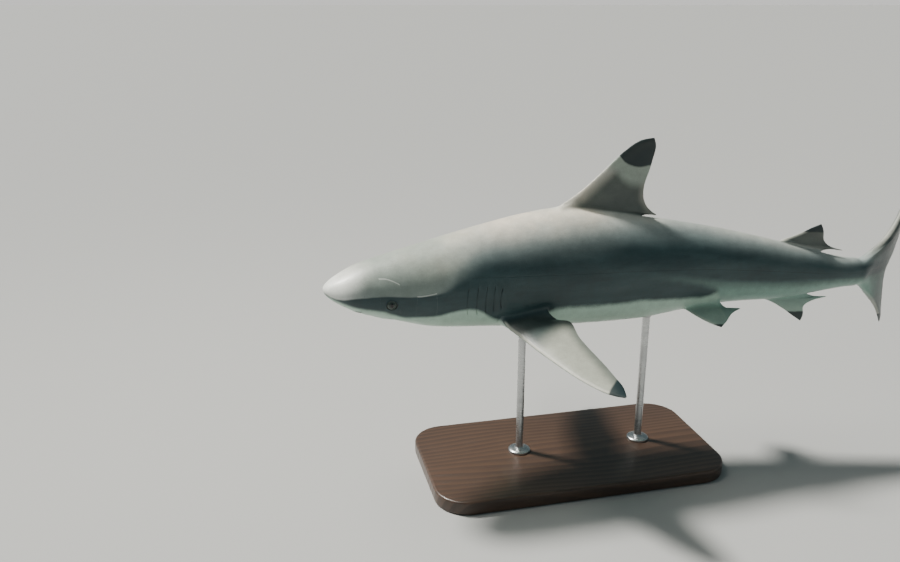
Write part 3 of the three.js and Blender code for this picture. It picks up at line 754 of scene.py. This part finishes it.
def sinkOpenings():
    def bothSides(rings, firstColumn, lastColumn):
        yield patch(rings, firstColumn, lastColumn)
        yield patch(rings, columns - lastColumn, columns - firstColumn)

    ring = ringAt(eyePlan["station"])
    for faces in bothSides((ring - 2, ring + 2), *eyePlan["columns"]):
        sink(faces, eyePlan["lidSteps"])
    ring, column = ringAt(nostrilRings[1]), nostrilPlan["column"]
    for faces in bothSides((ring - 1, ring + 1), column - 1, column + 1):
        sink(faces, nostrilPlan["steps"])
    for station in gillPlan["stations"]:
        ring = ringAt(station - gillPlan["halfWidth"])
        for faces in bothSides((ring, ring + 1), *gillPlan["columns"]):
            sink(faces, gillPlan["steps"])
    front, corner = ringAt(mouthRings[0]), ringAt(mouthPlan["corner"])
    side = mouthPlan["sideColumn"]
    mouth = patch((front, front + 1), side, columns - side)
    for flank in bothSides((front + 1, corner), side, side + 1):
        mouth += flank
    sink(mouth, mouthPlan["steps"])


sinkOpenings()
faceOutward(cage)
print("openings sunk:", len(cage.faces), "faces")


# The skin as one smooth piece

def readPoints(items, what, width=1):  # one row of values for each point
    values = np.empty(len(items) * width, np.float32)
    items.foreach_get(what, values)
    return values.reshape(-1, width).astype(float)


def addPiece(name, mesh):
    piece = bpy.data.objects.new(name, mesh)
    bpy.context.scene.collection.objects.link(piece)
    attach(piece, "root")
    return piece


skinPlan = {"levels": 2, "fitRounds": 3, "mostFit": 0.004}


def makeSkin():
    mesh = bpy.data.meshes.new("skinCage")
    cage.to_mesh(mesh)
    piece = addPiece("skin", mesh)
    smooth = piece.modifiers.new("smooth", "SUBSURF")
    smooth.levels = smooth.render_levels = skinPlan["levels"]

    def evaluated():
        return piece.evaluated_get(bpy.context.evaluated_depsgraph_get())

    wanted = readPoints(mesh.vertices, "co", 3)
    most = skinPlan["mostFit"]
    for _ in range(skinPlan["fitRounds"]):  # the smoothed skin is drawn back to the plan
        reached = readPoints(evaluated().data.vertices, "co", 3)[:len(wanted)]
        step = readPoints(mesh.vertices, "co", 3) - reached
        cageNow = wanted + np.clip(step, -most, most)
        mesh.vertices.foreach_set("co", cageNow.astype(np.float32).ravel())
        mesh.update()
    final = bpy.data.meshes.new_from_object(evaluated(), preserve_all_data_layers=True,
                                            depsgraph=bpy.context.evaluated_depsgraph_get())
    piece.modifiers.clear()
    piece.data = final
    final.name = "skin"
    final.shade_smooth()
    return piece


skin = makeSkin()
print("skin made:", len(skin.data.polygons), "faces")

# Markings, worked out at every point of the skin
# Edges of colour are given as heights by station, from the snout to the tail.

markings = {
    "bellyLine": [
        (0, -0.0035), (0.01, -0.0084), (0.02, -0.0116), (0.033, -0.0157), (0.048, -0.018),
        (0.065, -0.0212), (0.077, -0.0255), (0.089, -0.0292), (0.106, -0.0288),
        (0.13, -0.0278), (0.148, -0.0232), (0.167, -0.0215), (0.181, -0.0245), (0.197, -0.034),
        (0.215, -0.0425), (0.235, -0.047), (0.256, -0.047), (0.272, -0.0365), (0.29, -0.0285),
        (0.32, -0.0272), (0.35, -0.0277), (0.386, -0.0262), (0.407, -0.0243), (0.436, -0.0245),
        (0.466, -0.0248), (0.496, -0.0248), (0.508, -0.0235), (0.519, -0.019), (0.56, -0.0175),
        (0.6, -0.0175), (0.66, -0.0125), (0.7, -0.0095), (0.735, -0.0085)],
    "wedgeTop": [
        (0.36, 0.017), (0.4, 0.0145), (0.43, 0.0118), (0.46, 0.0078), (0.489, 0.0048),
        (0.52, 0.0004), (0.549, -0.0018), (0.607, -0.0036), (0.665, -0.0026), (0.76, -0.002)],
    "wedgeFloor": [
        (0.36, 0.006), (0.4, 0.0025), (0.432, -0.0006), (0.461, -0.0032), (0.492, -0.0090),
        (0.511, -0.015), (0.52, -0.022), (0.53, -0.05)],
    # painted light on the back ends above this line and painted shade covers the flank below it,
    # sharply along the head
    "paintedLightLine": [
        (0, -0.003), (0.01, -0.0062), (0.02, -0.0059), (0.036, -0.0036), (0.058, -0.0026),
        (0.081, -0.0030), (0.099, -0.0030), (0.123, -0.0011), (0.135, 0.0034), (0.144, 0.0096),
        (0.154, 0.0183), (0.168, 0.0285), (0.182, 0.0365), (0.195, 0.0405), (0.209, 0.0425),
        (0.235, 0.0425), (0.262, 0.0445), (0.316, 0.0485), (0.36, 0.053), (0.4, 0.0575),
        (0.459, 0.0568), (0.489, 0.0545), (0.547, 0.043), (0.604, 0.0325), (0.662, 0.0245),
        (0.7, 0.0145), (0.76, 0.017)],
    # painted highlights: fine pale glint lines on the left of the head
    "paintedGlints": [(0.0585, 0.0179), (0.0695, 0.0172), (0.0824, 0.0115), (0.095, 0.002),
                (0.101, -0.0022), (0.114, -0.0018), (0.127, 0.0006)],
    "dorsalTip": [(0.36, 0.166), (0.3775, 0.154), (0.384, 0.147), (0.394, 0.142), (0.406, 0.1402),
                  (0.421, 0.1425), (0.43, 0.144)],
    "lateralLine": [(0.1, 0.02), (0.16, 0.017), (0.3, 0.016), (0.5, 0.0145), (0.62, 0.0085),
                    (0.7, 0.0035), (0.76, 0.004)],
    # millimetres over which the painted light ends, and how many times softer the belly's edge gets
    "paintedLightBlur": [(0, 3), (0.1, 2.6), (0.12, 3.5), (0.135, 9), (0.155, 24), (0.19, 38),
                  (0.26, 42), (0.6, 30), (0.7, 12)],
    "bellySoftness": [(0, 1), (0.16, 1), (0.27, 1.8), (0.5, 1.6), (0.55, 3), (0.75, 3)],
    # each fin's most grey, and the share of its height over which that is reached; the grey is the
    # fins' own grey darkened with painted shade
    "grey": {"firstDorsal": (1.0, 0.07), "secondDorsal": (0.95, 0.12), "anal": (0.3, 0.3),
             "pectoral": (1.0, 0.06), "pelvic": (0.45, 0.3)},
    # a black tip starts where the first two, times the fin's own coordinates, reach the third
    "tips": {"secondDorsal": (0, 1, 0.0575), "anal": (0, -1, 0.0545),
             "pectoral": (0.85, 0.53, 0.160), "pelvic": (0, 1, 0.034)},
    "tailTip": {"radius": 0.03, "lowerFrom": 0.072},
    # painted light on the pectoral's upper side rises over its span, after a painted shadow of the
    # body at its root
    "paintedLightAcross": (1.1, 1.0), "paintedLightRise": (0.070, 0.116),  # of the pectoral's upper side
    # stations between which a mark comes or goes
    "whiteEnds": (0.735, 0.77), "wedgeFade": (0.39, 0.56), "tailRise": (0.735, 0.78),
    "poresEnd": (0.05, 0.085), "paintedGlintSpans": [(0.0585, 0.083), (0.101, 0.127)],
    "lateralFrom": 0.17,
}


def nearness(points, line):  # the distance of 2D points from a line through 2D points
    line = np.asarray(line, float)
    best = np.full(len(points), np.inf)
    for start, end in zip(line[:-1], line[1:]):
        run = end - start
        share = np.clip((points - start) @ run / (run @ run), 0, 1)
        best = np.minimum(best, np.hypot(*(points - start - share[:, None] * run).T))
    return best


def pairedCoordinates(plan, points):  # chord and span in a paired fin, either side
    places = unposed(points)
    places[:, 1] = np.abs(places[:, 1])
    start, chordLine, spanLine, _ = pairedFrame(plan)
    away = (posed(places) - start) / pose["totalLength"]
    return np.column_stack([away @ chordLine, away @ spanLine])


def markFins(mesh, points, station, left, up):
    onFin = readPoints(mesh.attributes["onFin"].data, "value")[:, 0]
    upperSide = rise(readPoints(mesh.vertices, "normal", 3)[:, 2], -0.25, 0.25)
    flat = np.column_stack([station, up])
    inTail = station > ringStations[-1]
    finned = (onFin > 0.01) & ~inTail
    aside = np.abs(left) > 0.02
    fins = {
        "firstDorsal": (firstDorsal, finned & (station < 0.46) & ~aside & (up > 0)),
        "secondDorsal": (secondDorsal, finned & (station > 0.58) & (up > 0)),
        "anal": (analFin, finned & (station > 0.58) & (up < 0)),
        "pectoral": (pectoral, finned & (station < 0.4) & aside),
        "pelvic": (pelvic, finned & (station > 0.46) & (station < 0.57) & (up < 0)),
    }
    # how far each point of a fin is inside its black tip, and how near the fin's edges
    black, rim, lead = (np.full(len(station), far) for far in (-0.05, 0.05, 0.05))
    grey, paintedLightTop = np.zeros(len(station)), np.zeros(len(station))
    for name, (plan, inFin) in fins.items():
        paired = plan in (pectoral, pelvic)
        own = pairedCoordinates(plan, points[inFin]) if paired else flat[inFin]
        rim[inFin], lead[inFin] = nearness(own, plan["trail"]), nearness(own, plan["lead"])
        most, reached = markings["grey"][name]
        grey[inFin] = most * rise(onFin[inFin], 0, reached)
        if paired:
            grey[inFin] *= upperSide[inFin]
        if name == "firstDorsal":  # it lightens towards its edges
            # lighter along its leading edge as a painted highlight, and lighter towards its
            # trailing edge
            grey[inFin] *= 0.25 + 0.75 * rise(lead[inFin], 0.001, 0.018)
            grey[inFin] *= 0.7 + 0.3 * rise(rim[inFin], 0, 0.011)
            black[inFin] = own[:, 1] - smoothAt(markings["dorsalTip"], own[:, 0])
        else:
            *across, start = markings["tips"][name]
            black[inFin] = own @ across - start
        # the pectoral's upper side is dark at its root as a painted shadow of the body, and painted
        # light covers the rest
        if name == "pectoral":
            pale = rise(own @ markings["paintedLightAcross"], *markings["paintedLightRise"])
            paintedLightTop[inFin] = pale * upperSide[inFin]

    tail = flat[inTail]
    rim[inTail] = nearness(tail, tailPlan["trail"])
    lead[inTail] = np.minimum(nearness(tail, tailPlan["upperLead"]),
                              nearness(tail, tailPlan["lowerLead"]))
    tip = markings["tailTip"]
    black[inTail] = np.maximum(-tail[:, 1] - tip["lowerFrom"],
                               tip["radius"] - np.hypot(*(tail - tailPlan["trail"][0]).T))
    band = np.where(fins["firstDorsal"][1], -black, 1)
    inPectoral = fins["pectoral"][1]
    return onFin, grey, inPectoral, {
        "black": black * 1000, "band": band * 1000, "rim": rim * 1000, "lead": lead * 1000,
        "grey": grey, "paintedLightTop": paintedLightTop}


def markSkin(mesh):  # distances are stored in millimetres
    points = readPoints(mesh.vertices, "co", 3)
    station, left, up = unposed(points).T
    hollow = readPoints(mesh.attributes["hollow"].data, "value")[:, 0]
    onFin, grey, inPectoral, marks = markFins(mesh, points, station, left, up)
    far = {"inside": -20, "line": 50}  # where a mark or a line is nowhere near

    def above(line):
        return (up - smoothAt(markings[line], station)) * 1000

    white = -above("bellyLine") / smoothAt(markings["bellySoftness"], station)
    white = between(white, far["inside"], grey * inPectoral)
    noWhite = rise(station, *markings["whiteEnds"])
    marks["white"] = between(white, np.minimum(white, -1), noWhite)
    wedge = np.minimum(-above("wedgeTop"), above("wedgeFloor"))
    marks["wedge"] = np.where(station < markings["wedgeTop"][0][0], far["inside"], wedge)
    marks["wedgeFade"] = rise(station, *markings["wedgeFade"])
    # where the back's painted light ends and the flank's painted shade begins
    marks["paintedLight"] = above("paintedLightLine")
    marks["paintedLightBlur"] = smoothAt(markings["paintedLightBlur"], station)
    marks["inTail"] = rise(station, *markings["tailRise"])
    marks["station"] = station
    # painted glint lines on the left of the head
    paintedGlintSpans = sum((station > first) & (station < last) for first, last in markings["paintedGlintSpans"])
    marks["paintedGlint"] = np.where((left > 0) & (paintedGlintSpans > 0), above("paintedGlints"), far["line"])
    lined = (station > markings["lateralFrom"]) & (onFin < 0.01)
    marks["lateral"] = np.where(lined, above("lateralLine"), far["line"])
    snout = (1 - rise(station, *markings["poresEnd"])) * (1 - hollow)
    marks["pores"] = snout * (1 - 0.75 * rise(up, -0.004, 0.006))
    for name, values in marks.items():
        layer = mesh.attributes.new(name, "FLOAT", "POINT")
        layer.data.foreach_set("value", np.asarray(values, np.float32))


markSkin(skin.data)
print("markings laid")

# Shader sums written as Python


def socketOf(sockets, key):  # by its place, its identifier or its name
    if isinstance(key, int):
        return sockets[key]
    return next(socket for socket in sockets if key in (socket.identifier, socket.name))


class Wire:  # a socket that can be added, multiplied and so on
    def __init__(self, tree, socket=None):
        self.tree, self.socket = tree, socket

    def node(self, kind, inputs=None, output=0, **settings):
        node = self.tree.nodes.new("ShaderNode" + kind)
        for name, value in settings.items():
            setattr(node, name, value)
        for key, value in (inputs or {}).items():
            socket = socketOf(node.inputs, key)
            if isinstance(value, Wire):
                self.tree.links.new(value.socket, socket)
            else:
                socket.default_value = value
        return Wire(self.tree, socketOf(node.outputs, output))

    def math(self, operation, *values):
        return self.node("Math", dict(enumerate(values)), operation=operation)

    def function(self, operation):
        return self.math(operation, self)

    def __add__(self, other):
        return self.math("ADD", self, other)

    def __sub__(self, other):
        return self.math("SUBTRACT", self, other)

    def __rsub__(self, other):
        return self.math("SUBTRACT", other, self)

    def __mul__(self, other):
        return self.math("MULTIPLY", self, other)

    def __truediv__(self, other):
        return self.math("DIVIDE", self, other)

    __radd__, __rmul__ = __add__, __mul__

    def smooth(self, low, high):  # 0 at low, 1 at high, smooth between
        return self.node("MapRange", {"Value": self, "From Min": low, "From Max": high},
                         interpolation_type="SMOOTHSTEP")

    def attribute(self, name, output="Fac"):
        return self.node("Attribute", output=output, attribute_name=name)

    def place(self):
        return self.node("TexCoord", output="Object")

    def axis(self, name):
        return self.node("SeparateXYZ", {"Vector": self}, name)

    def noise(self, scale, detail, roughness=0.6, at=None, stretch=None):
        place = at or self.place()
        if stretch:
            place = self.node("Mapping", {"Vector": place, "Scale": stretch})
        return self.node("TexNoise", {
            "Vector": place, "Scale": scale, "Detail": detail, "Roughness": roughness})

    def cells(self, scale):  # the distance from the nearest of many scattered points
        return self.node("TexVoronoi", {"Vector": self.place(), "Scale": scale}, "Distance")

    def mix(self, share, low, high):  # colours: low where share is 0, high where it is 1
        return self.node("Mix", {"Factor_Float": share, "A_Color": low, "B_Color": high},
                         "Result_Color", data_type="RGBA")

    def bump(self, height, depth, strength, under=None):
        inputs = {"Height": height, "Distance": depth, "Strength": strength}
        if under:
            inputs["Normal"] = under
        return self.node("Bump", inputs)


def newMaterial(name, constants):
    material = bpy.data.materials.new(name)
    material.use_nodes = True
    shader = material.node_tree.nodes["Principled BSDF"]
    for socket, value in constants.items():
        shader.inputs[socket].default_value = value
    return material, Wire(material.node_tree), shader


def feed(wire, shader, links):
    for socket, value in links.items():
        wire.tree.links.new(value.socket, shader.inputs[socket])


skinLook = {
    # back is the back's own grey-brown brightened with painted light, backPaintedShade is painted
    # shade where that light fades, and head is a dimmer painted light on the head
    "back": (0.58, 0.575, 0.505, 1), "backWarm": (0.69, 0.61, 0.49, 1),
    "backPaintedShade": (0.25, 0.29, 0.28, 1), "head": (0.20, 0.245, 0.215, 1),
    # flank and flankPale are painted shade
    "flank": (0.012, 0.036, 0.041, 1), "flankPale": (0.036, 0.070, 0.074, 1),
    "belly": (0.40, 0.55, 0.46, 1), "wedge": (0.19, 0.32, 0.27, 1),
    # fin and finPale are the fins' grey darkened with painted shade; finTopPaintedLight is painted
    # light on the pectorals' upper side
    "fin": (0.030, 0.046, 0.043, 1), "finPale": (0.060, 0.080, 0.072, 1),
    "finTopPaintedLight": (0.325, 0.335, 0.28, 1),
    "pale": (0.30, 0.35, 0.30, 1), "black": (0.003, 0.015, 0.018, 1),
    # snout is a painted highlight, on the snout's tip and in the head's glint lines; hollow is
    # painted shade in the sunken openings
    "snout": (0.84, 0.85, 0.80, 1), "hollow": (0.05, 0.035, 0.032, 1),
}


def skinMaterial():
    look = skinLook
    material, wire, shader = newMaterial("sharkSkin", {
        "Roughness": 0.42, "Specular IOR Level": 0.42, "Coat Roughness": 0.25,
        "Coat IOR": 1.36})
    soft = wire.noise(9.0, 4.0, 0.55)
    mottle = wire.noise(55.0, 5.0)
    grain = wire.noise(420.0, 4.0)
    streak = wire.noise(26.0, 4.0, 0.55, stretch=(0.25, 1.0, 1.0))
    ragged = (mottle - 0.5) * 3.0 + (grain - 0.5) * 1.2

    # painted light on the back over painted shade on the flank, then the white underside and the
    # flank's pale wedge, in millimetres
    inTail, station = wire.attribute("inTail"), wire.attribute("station")
    paintedLight = wire.attribute("paintedLight") + (soft - 0.5) * 8.0 + (streak - 0.5) * 5.0
    lit = (paintedLight / wire.attribute("paintedLightBlur") + 0.5).smooth(0.0, 1.0)
    warmer = wire.mix(soft.smooth(0.35, 0.68), look["back"], look["backWarm"])
    # painted shade on the back where its painted light fades towards the flank
    back = wire.mix((paintedLight / 44.0).smooth(0.0, 1.0), look["backPaintedShade"], warmer)
    # the flank's colour is painted shade
    flank = wire.mix(streak.smooth(0.3, 0.75), look["flank"], look["flankPale"])
    # on the head the painted light is dimmer, and the snout's tip has a painted highlight
    crest = (station + (soft - 0.5) * 0.03).smooth(0.02, 0.06) * (1 - station.smooth(0.11, 0.21))
    tip = 1 - (station + (soft - 0.5) * 0.02).smooth(0.006, 0.045)
    white = (wire.attribute("white") + ragged * 0.8).smooth(-2.2, 3.4)
    wedge = wire.attribute("wedge") + (streak - 0.5) * 5.0 + ragged * 0.6
    wedge = wedge.smooth(-3.0, 6.0) * 0.35 + wedge.smooth(0.0, 21.0) * 0.65

    # fins: grey darkened with painted shade, with the tips black, a pale band under the first
    # dorsal's and a painted highlight along the leading edges
    grey, rim = wire.attribute("grey"), wire.attribute("rim")
    finGrey = wire.mix(streak.smooth(0.3, 0.75), look["fin"], look["finPale"])
    band = wire.attribute("band") + (streak - 0.5) * 6.0
    band = band.smooth(-3.0, 0.0) * (1 - band.smooth(14.0, 31.0))
    darkRim = (1 - (rim + ragged * 0.6).smooth(2.0, 8.5)) * inTail
    # a painted highlight along the leading edges of the fins and tail
    leadPaintedGlint = 1 - wire.attribute("lead").smooth(0.8, 3.8)
    black = (wire.attribute("black") + ragged * 0.7).smooth(-1.6, 1.4)
    # painted shade deep in the sunken openings
    hollow = wire.attribute("hollow")
    # painted highlights along thin lines on the head
    paintedGlint = 1 - wire.attribute("paintedGlint").function("ABSOLUTE").smooth(0.2, 0.9)
    # the painted light, mostly left off the tail, over the flank's painted shade
    colour = wire.mix(lit * (1 - inTail * 0.85), flank, back)
    for share, over in (
            (crest * lit * 0.75, look["head"]),
            (tip * lit * 0.8, look["snout"]),
            (white, look["belly"]),
            (wedge * wire.attribute("wedgeFade") * (1 - inTail * 0.55), look["wedge"]),
            (grey * 0.93, finGrey),
            (wire.attribute("paintedLightTop") * (rim.smooth(1.0, 17.0) * 0.65 + 0.35), look["finTopPaintedLight"]),
            (band * 0.92, look["pale"]),
            (inTail * 0.4, look["black"]),
            (darkRim * 0.85, look["black"]),
            (leadPaintedGlint * (grey + inTail * 0.6).smooth(0.2, 0.9) * 0.8, look["back"]),
            (black * 0.96, look["black"]),
            (hollow.smooth(0.05, 0.6), look["hollow"]),
            (paintedGlint * 0.5, look["snout"])):
        colour = wire.mix(share, colour, over)

    # fine blotches and pale specks over all of it, the lateral line and the snout's pores
    pore = (1 - wire.cells(150.0).smooth(0.07, 0.13)) * wire.attribute("pores")
    line = 1 - wire.attribute("lateral").function("ABSOLUTE").smooth(0.25, 0.9)
    tone = (mottle - 0.5) * 0.5 + (grain - 0.5) * 0.28 + 1.0 - line * 0.16 - pore * 0.55
    colour = wire.node("VectorMath", {"Vector": colour, "Scale": tone}, operation="SCALE")

    normal = wire.bump(soft, 0.004, 0.5)
    for height, depth, strength in ((mottle, 0.0008, 0.5), (wire.cells(900.0), 0.00025, 0.6),
                                    (1 - pore - line * 0.4, 0.0006, 0.7)):
        normal = wire.bump(height, depth, strength, normal)
    feed(wire, shader, {
        "Base Color": colour,
        "Roughness": (mottle - 0.5) * 0.25 + (grain - 0.5) * 0.15 + 0.42 + black * 0.06,
        "Coat Weight": 0.25 - hollow * 0.2, "Normal": normal,
    })
    return material


skin.data.materials.append(skinMaterial())
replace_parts(skin, "head", "lower_jaw", "trunk_front", "trunk_rear", "tail_stalk",
            "first_dorsal_fin", "second_dorsal_fin", "anal_fin", "pectoral_fin_left",
            "pectoral_fin_right", "pelvic_fin_left", "pelvic_fin_right",
            "caudal_fin_upper_lobe", "caudal_fin_lower_lobe")
print("skin finished")

# Eyes

eyeball = {
    "inset": 6.3, "halfLength": 11.0, "halfHeight": 10.2, "halfDepth": 8.0,  # millimetres
    "cornea": 0.05, "slit": (0.21, 0.40),  # shares of the radius
    "iris": (0.11, 0.15, 0.13, 1), "irisInner": (0.03, 0.042, 0.036, 1),
    "ring": (0.010, 0.015, 0.015, 1), "pupil": (0.002, 0.003, 0.003, 1),
}


def eyeMaterial():
    material, wire, shader = newMaterial("eyeGloss", {
        "Roughness": 0.16, "Coat Weight": 0.55, "Coat Roughness": 0.03, "Specular IOR Level": 0.3})
    place = wire.attribute("eyePlace", "Vector")
    along, upward = place.axis("X"), place.axis("Y")
    radius = (along * along + upward * upward).function("SQRT")
    speckle = wire.noise(900.0, 4.0, 0.7, at=place)
    fibres = wire.noise(9.0, 6.0, 0.5, at=place)
    across, high = (part / half for part, half in zip((along, upward), eyeball["slit"]))
    slit = across * across + high * high
    bright = radius.smooth(0.5, 0.64) + (fibres - 0.5) * 0.4
    colour = wire.mix(bright, eyeball["irisInner"], eyeball["iris"])
    colour = wire.mix((radius + (fibres - 0.5) * 0.05).smooth(0.69, 0.73), colour, eyeball["ring"])
    inPupil = 1 - (slit + (speckle - 0.5) * 0.1).smooth(0.85, 1.15)
    colour = wire.mix(inPupil, colour, eyeball["pupil"])
    feed(wire, shader, {"Base Color": colour})
    return material


def makeEyes():
    finish = eyeMaterial()
    middle, up = eyePlan["station"], eyePlan["up"]
    angle = angleAtHeight(middle, up)
    skinOut, ahead, behind = (
        sectionPlace(middle + step, angle)[1] for step in (0, -0.006, 0.006))
    turn = math.atan2(behind - ahead, 0.012)    # the eye faces squarely out of the skin
    out = skinOut - eyeball["inset"] * millimetre * math.cos(turn)
    station = middle + eyeball["inset"] * millimetre * math.sin(turn)
    tail, leftward, upward = (Vector(axis) for axis in bodyAxes(middle))
    for side, name in ((1, "left"), (-1, "right")):
        ball = bmesh.new()
        placeTag = ball.verts.layers.float_vector.new("eyePlace")
        made = bmesh.ops.create_uvsphere(ball, u_segments=56, v_segments=36, radius=1)
        centre = Vector(posed([(station, side * out, up)])[0])
        along = tail * math.cos(turn) + leftward * side * math.sin(turn)
        face = leftward * side * math.cos(turn) - tail * math.sin(turn)
        for vert in made["verts"]:
            x, y, z = vert.co   # a pole faces outward, so that the pupil is smooth
            vert[placeTag] = vert.co
            cornea = 1 + eyeball["cornea"] * float(rise(z, 0.72, 1))
            vert.co = centre + 0.001 * (along * x * eyeball["halfLength"]
                                        + face * z * cornea * eyeball["halfDepth"]
                                        + upward * y * eyeball["halfHeight"])
        faceOutward(ball)
        mesh = bpy.data.meshes.new("eyeball_" + name)
        ball.to_mesh(mesh)
        mesh.shade_smooth()
        mesh.materials.append(finish)
        piece = addPiece("eyeball_" + name, mesh)
        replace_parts(piece, "eye_" + name)


makeEyes()
print("eyes made")

# The stand: a bevelled wooden base and two steel rods with turned feet

stand = {
    "cornerRadius": 60, "edge": 4,                                      # millimetres
    "rodProfile": [                                                     # radius, height
        (21, 0), (21, 3.5), (20.2, 4.6), (17.5, 5.8), (13, 6.6), (9.5, 7.4), (7.6, 9.5), (7, 13)],
    "collarProfile": [(7, -7), (8.6, -6.4), (9.2, -5), (9.2, 1)],       # height from the top
    "sharpFrom": 32,                                                    # degrees
    "woodDark": (0.022, 0.012, 0.008, 1), "woodPale": (0.082, 0.044, 0.026, 1),
    "woodPit": (0.022, 0.011, 0.006, 1),
    "steel": (0.56, 0.57, 0.57, 1), "steelDark": (0.36, 0.37, 0.38, 1),
}


def woodMaterial():
    material, wire, shader = newMaterial("oiledWood", {
        "Roughness": 0.4, "Coat Weight": 0.25, "Coat Roughness": 0.2})
    drift = wire.noise(2.2, 2.0, 0.5, stretch=(0.45, 1.6, 1.0))
    place = wire.place()
    rings = ((place.axis("Y") + place.axis("Z") * 0.6 + drift * 0.16) * 75.0).function("FRACT")
    rings = rings.smooth(0.0, 0.75) * (1 - rings.smooth(0.86, 1.0))
    pores = wire.noise(240.0, 3.0, stretch=(0.06, 1.0, 1.0))
    fibre = wire.noise(620.0, 3.0, stretch=(0.035, 1.0, 1.0))
    broad = wire.noise(7.0, 3.0, 0.5, stretch=(0.35, 1.0, 1.0))
    tone = rings * 0.42 + (fibre - 0.5) * 0.7 + (broad - 0.5) * 0.9 + 0.28
    colour = wire.mix(tone, stand["woodPale"], stand["woodDark"])
    pit = pores.smooth(0.62, 0.74)
    colour = wire.mix(pit * 0.6, colour, stand["woodPit"])
    normal = wire.bump(1 - pit, 0.0004, 0.45, wire.bump(fibre, 0.00025, 0.35))
    feed(wire, shader, {
        "Base Color": colour, "Roughness": 0.36 + rings * 0.08 + pit * 0.2, "Normal": normal})
    return material


def steelMaterial():
    material, wire, shader = newMaterial("brushedSteel", {"Metallic": 1.0, "Roughness": 0.3})
    brushed = wire.noise(900.0, 3.0, stretch=(0.05, 0.05, 1.0))
    smudge = wire.noise(28.0, 4.0)
    darker = smudge.smooth(0.35, 0.75) * 0.5 + brushed * 0.35
    feed(wire, shader, {
        "Base Color": wire.mix(darker, stand["steel"], stand["steelDark"]),
        "Roughness": (brushed - 0.5) * 0.22 + (smudge - 0.5) * 0.16 + 0.29,
        "Normal": wire.bump(brushed, 0.00006, 0.5)})
    return material


def standPiece(name, made, finish):
    faceOutward(made)
    mesh = bpy.data.meshes.new(name)
    made.to_mesh(mesh)
    mesh.shade_smooth()
    mesh.set_sharp_from_angle(angle=math.radians(stand["sharpFrom"]))
    mesh.materials.append(finish)
    piece = addPiece(name, mesh)
    return piece


def makeBase(finish):
    low, high = (Vector(corner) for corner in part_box("stand_base"))
    block = bmesh.new()
    bmesh.ops.create_cube(block, size=1)
    bmesh.ops.scale(block, vec=high - low, verts=block.verts[:])
    bmesh.ops.translate(block, vec=(high + low) / 2, verts=block.verts[:])

    def roundEdges(edges, segments, millimetres):
        bmesh.ops.bevel(block, geom=edges, affect="EDGES", segments=segments, profile=0.5,
                        material=-1, offset=millimetres * 0.001)

    roundEdges([edge for edge in block.edges
                if abs(edge.verts[0].co.z - edge.verts[1].co.z) > 1e-4], 20, stand["cornerRadius"])
    roundEdges([edge for edge in block.edges if edge.calc_face_angle(0) > 1.2], 5, stand["edge"])
    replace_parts(standPiece("displayBase", block, finish), "stand_base")


def makeRod(node, name, finish):
    low, high = (Vector(corner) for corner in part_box(node))
    centre = (low + high) / 2
    rod = bmesh.new()
    outline = [(radius, low.z + height * 0.001) for radius, height in stand["rodProfile"]]
    outline += [(radius, high.z + height * 0.001) for radius, height in stand["collarProfile"]]
    outline = [(0, low.z)] + outline + [(0, outline[-1][1])]
    chain = [rod.verts.new((centre.x + radius * 0.001, centre.y, z)) for radius, z in outline]
    edges = [rod.edges.new(pair) for pair in zip(chain, chain[1:])]
    bmesh.ops.spin(rod, geom=chain + edges, cent=(centre.x, centre.y, 0), axis=(0, 0, 1),
                   angle=math.tau, steps=40, use_merge=True)
    bmesh.ops.remove_doubles(rod, verts=rod.verts[:], dist=1e-6)
    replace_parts(standPiece(name, rod, finish), node)


makeBase(woodMaterial())
steel = steelMaterial()
makeRod("stand_rod_front", "rodFront", steel)
makeRod("stand_rod_rear", "rodRear", steel)
print("stand made")

# Stage

stage = {
    "floor": 1500.0, "floorColour": (0.36, 0.36, 0.352, 1),             # metres to each side
    "roomColour": (0.15, 0.195, 0.205, 1), "horizonColour": (0.80, 0.79, 0.765, 1),
    "sunToward": (-0.46, 0.34, 0.82), "sunSpread": 9,                   # degrees
    "sunPower": 7.2, "sunColour": (1.0, 0.975, 0.92),                   # watts a square metre
    "lampPlace": (-0.9, 0.3, 1.9), "lampAim": (-0.1, 0, 0.4), "lampSize": 1.1,
    "lampPower": 20, "lampColour": (1.0, 0.96, 0.88),                   # watts
}


def addStage():
    grid = bmesh.new()
    bmesh.ops.create_grid(grid, x_segments=1, y_segments=1, size=stage["floor"])
    mesh = bpy.data.meshes.new("floor")
    grid.to_mesh(mesh)
    floor = bpy.data.objects.new("floor", mesh)
    bpy.context.scene.collection.objects.link(floor)
    paint = {"Base Color": stage["floorColour"], "Roughness": 0.9}
    mesh.materials.append(newMaterial("floorPaint", paint)[0])


def addLamp(name, kind, place, turn, values):
    data = bpy.data.lights.new(name, kind)
    for what, value in values.items():
        setattr(data, what, value)
    lamp = bpy.data.objects.new(name, data)
    lamp.matrix_world = Matrix.Translation(place) @ turn.to_matrix().to_4x4()
    bpy.context.scene.collection.objects.link(lamp)


def addLamps():
    addLamp("keyLight", "SUN", (0, 0, 0), Vector(stage["sunToward"]).to_track_quat("Z", "Y"),
            {"angle": math.radians(stage["sunSpread"]), "energy": stage["sunPower"],
             "color": stage["sunColour"]})
    aim = Vector(stage["lampAim"]) - Vector(stage["lampPlace"])
    addLamp("topLight", "AREA", stage["lampPlace"], aim.to_track_quat("-Z", "Y"),
            {"shape": "DISK", "size": stage["lampSize"], "energy": stage["lampPower"],
             "color": stage["lampColour"]})


def addRoom():  # dim all round, but as pale as the far floor where the two meet
    world = bpy.data.worlds.new("room")
    world.use_nodes = True
    background = world.node_tree.nodes["Background"]
    wire = Wire(world.node_tree)
    height = wire.node("TexCoord", output="Generated").axis("Z")
    colour = wire.mix(height.smooth(0.01, 0.06), stage["horizonColour"], stage["roomColour"])
    feed(wire, background, {"Color": colour})
    bpy.context.scene.world = world


addStage()
addLamps()
addRoom()
print("stage set")
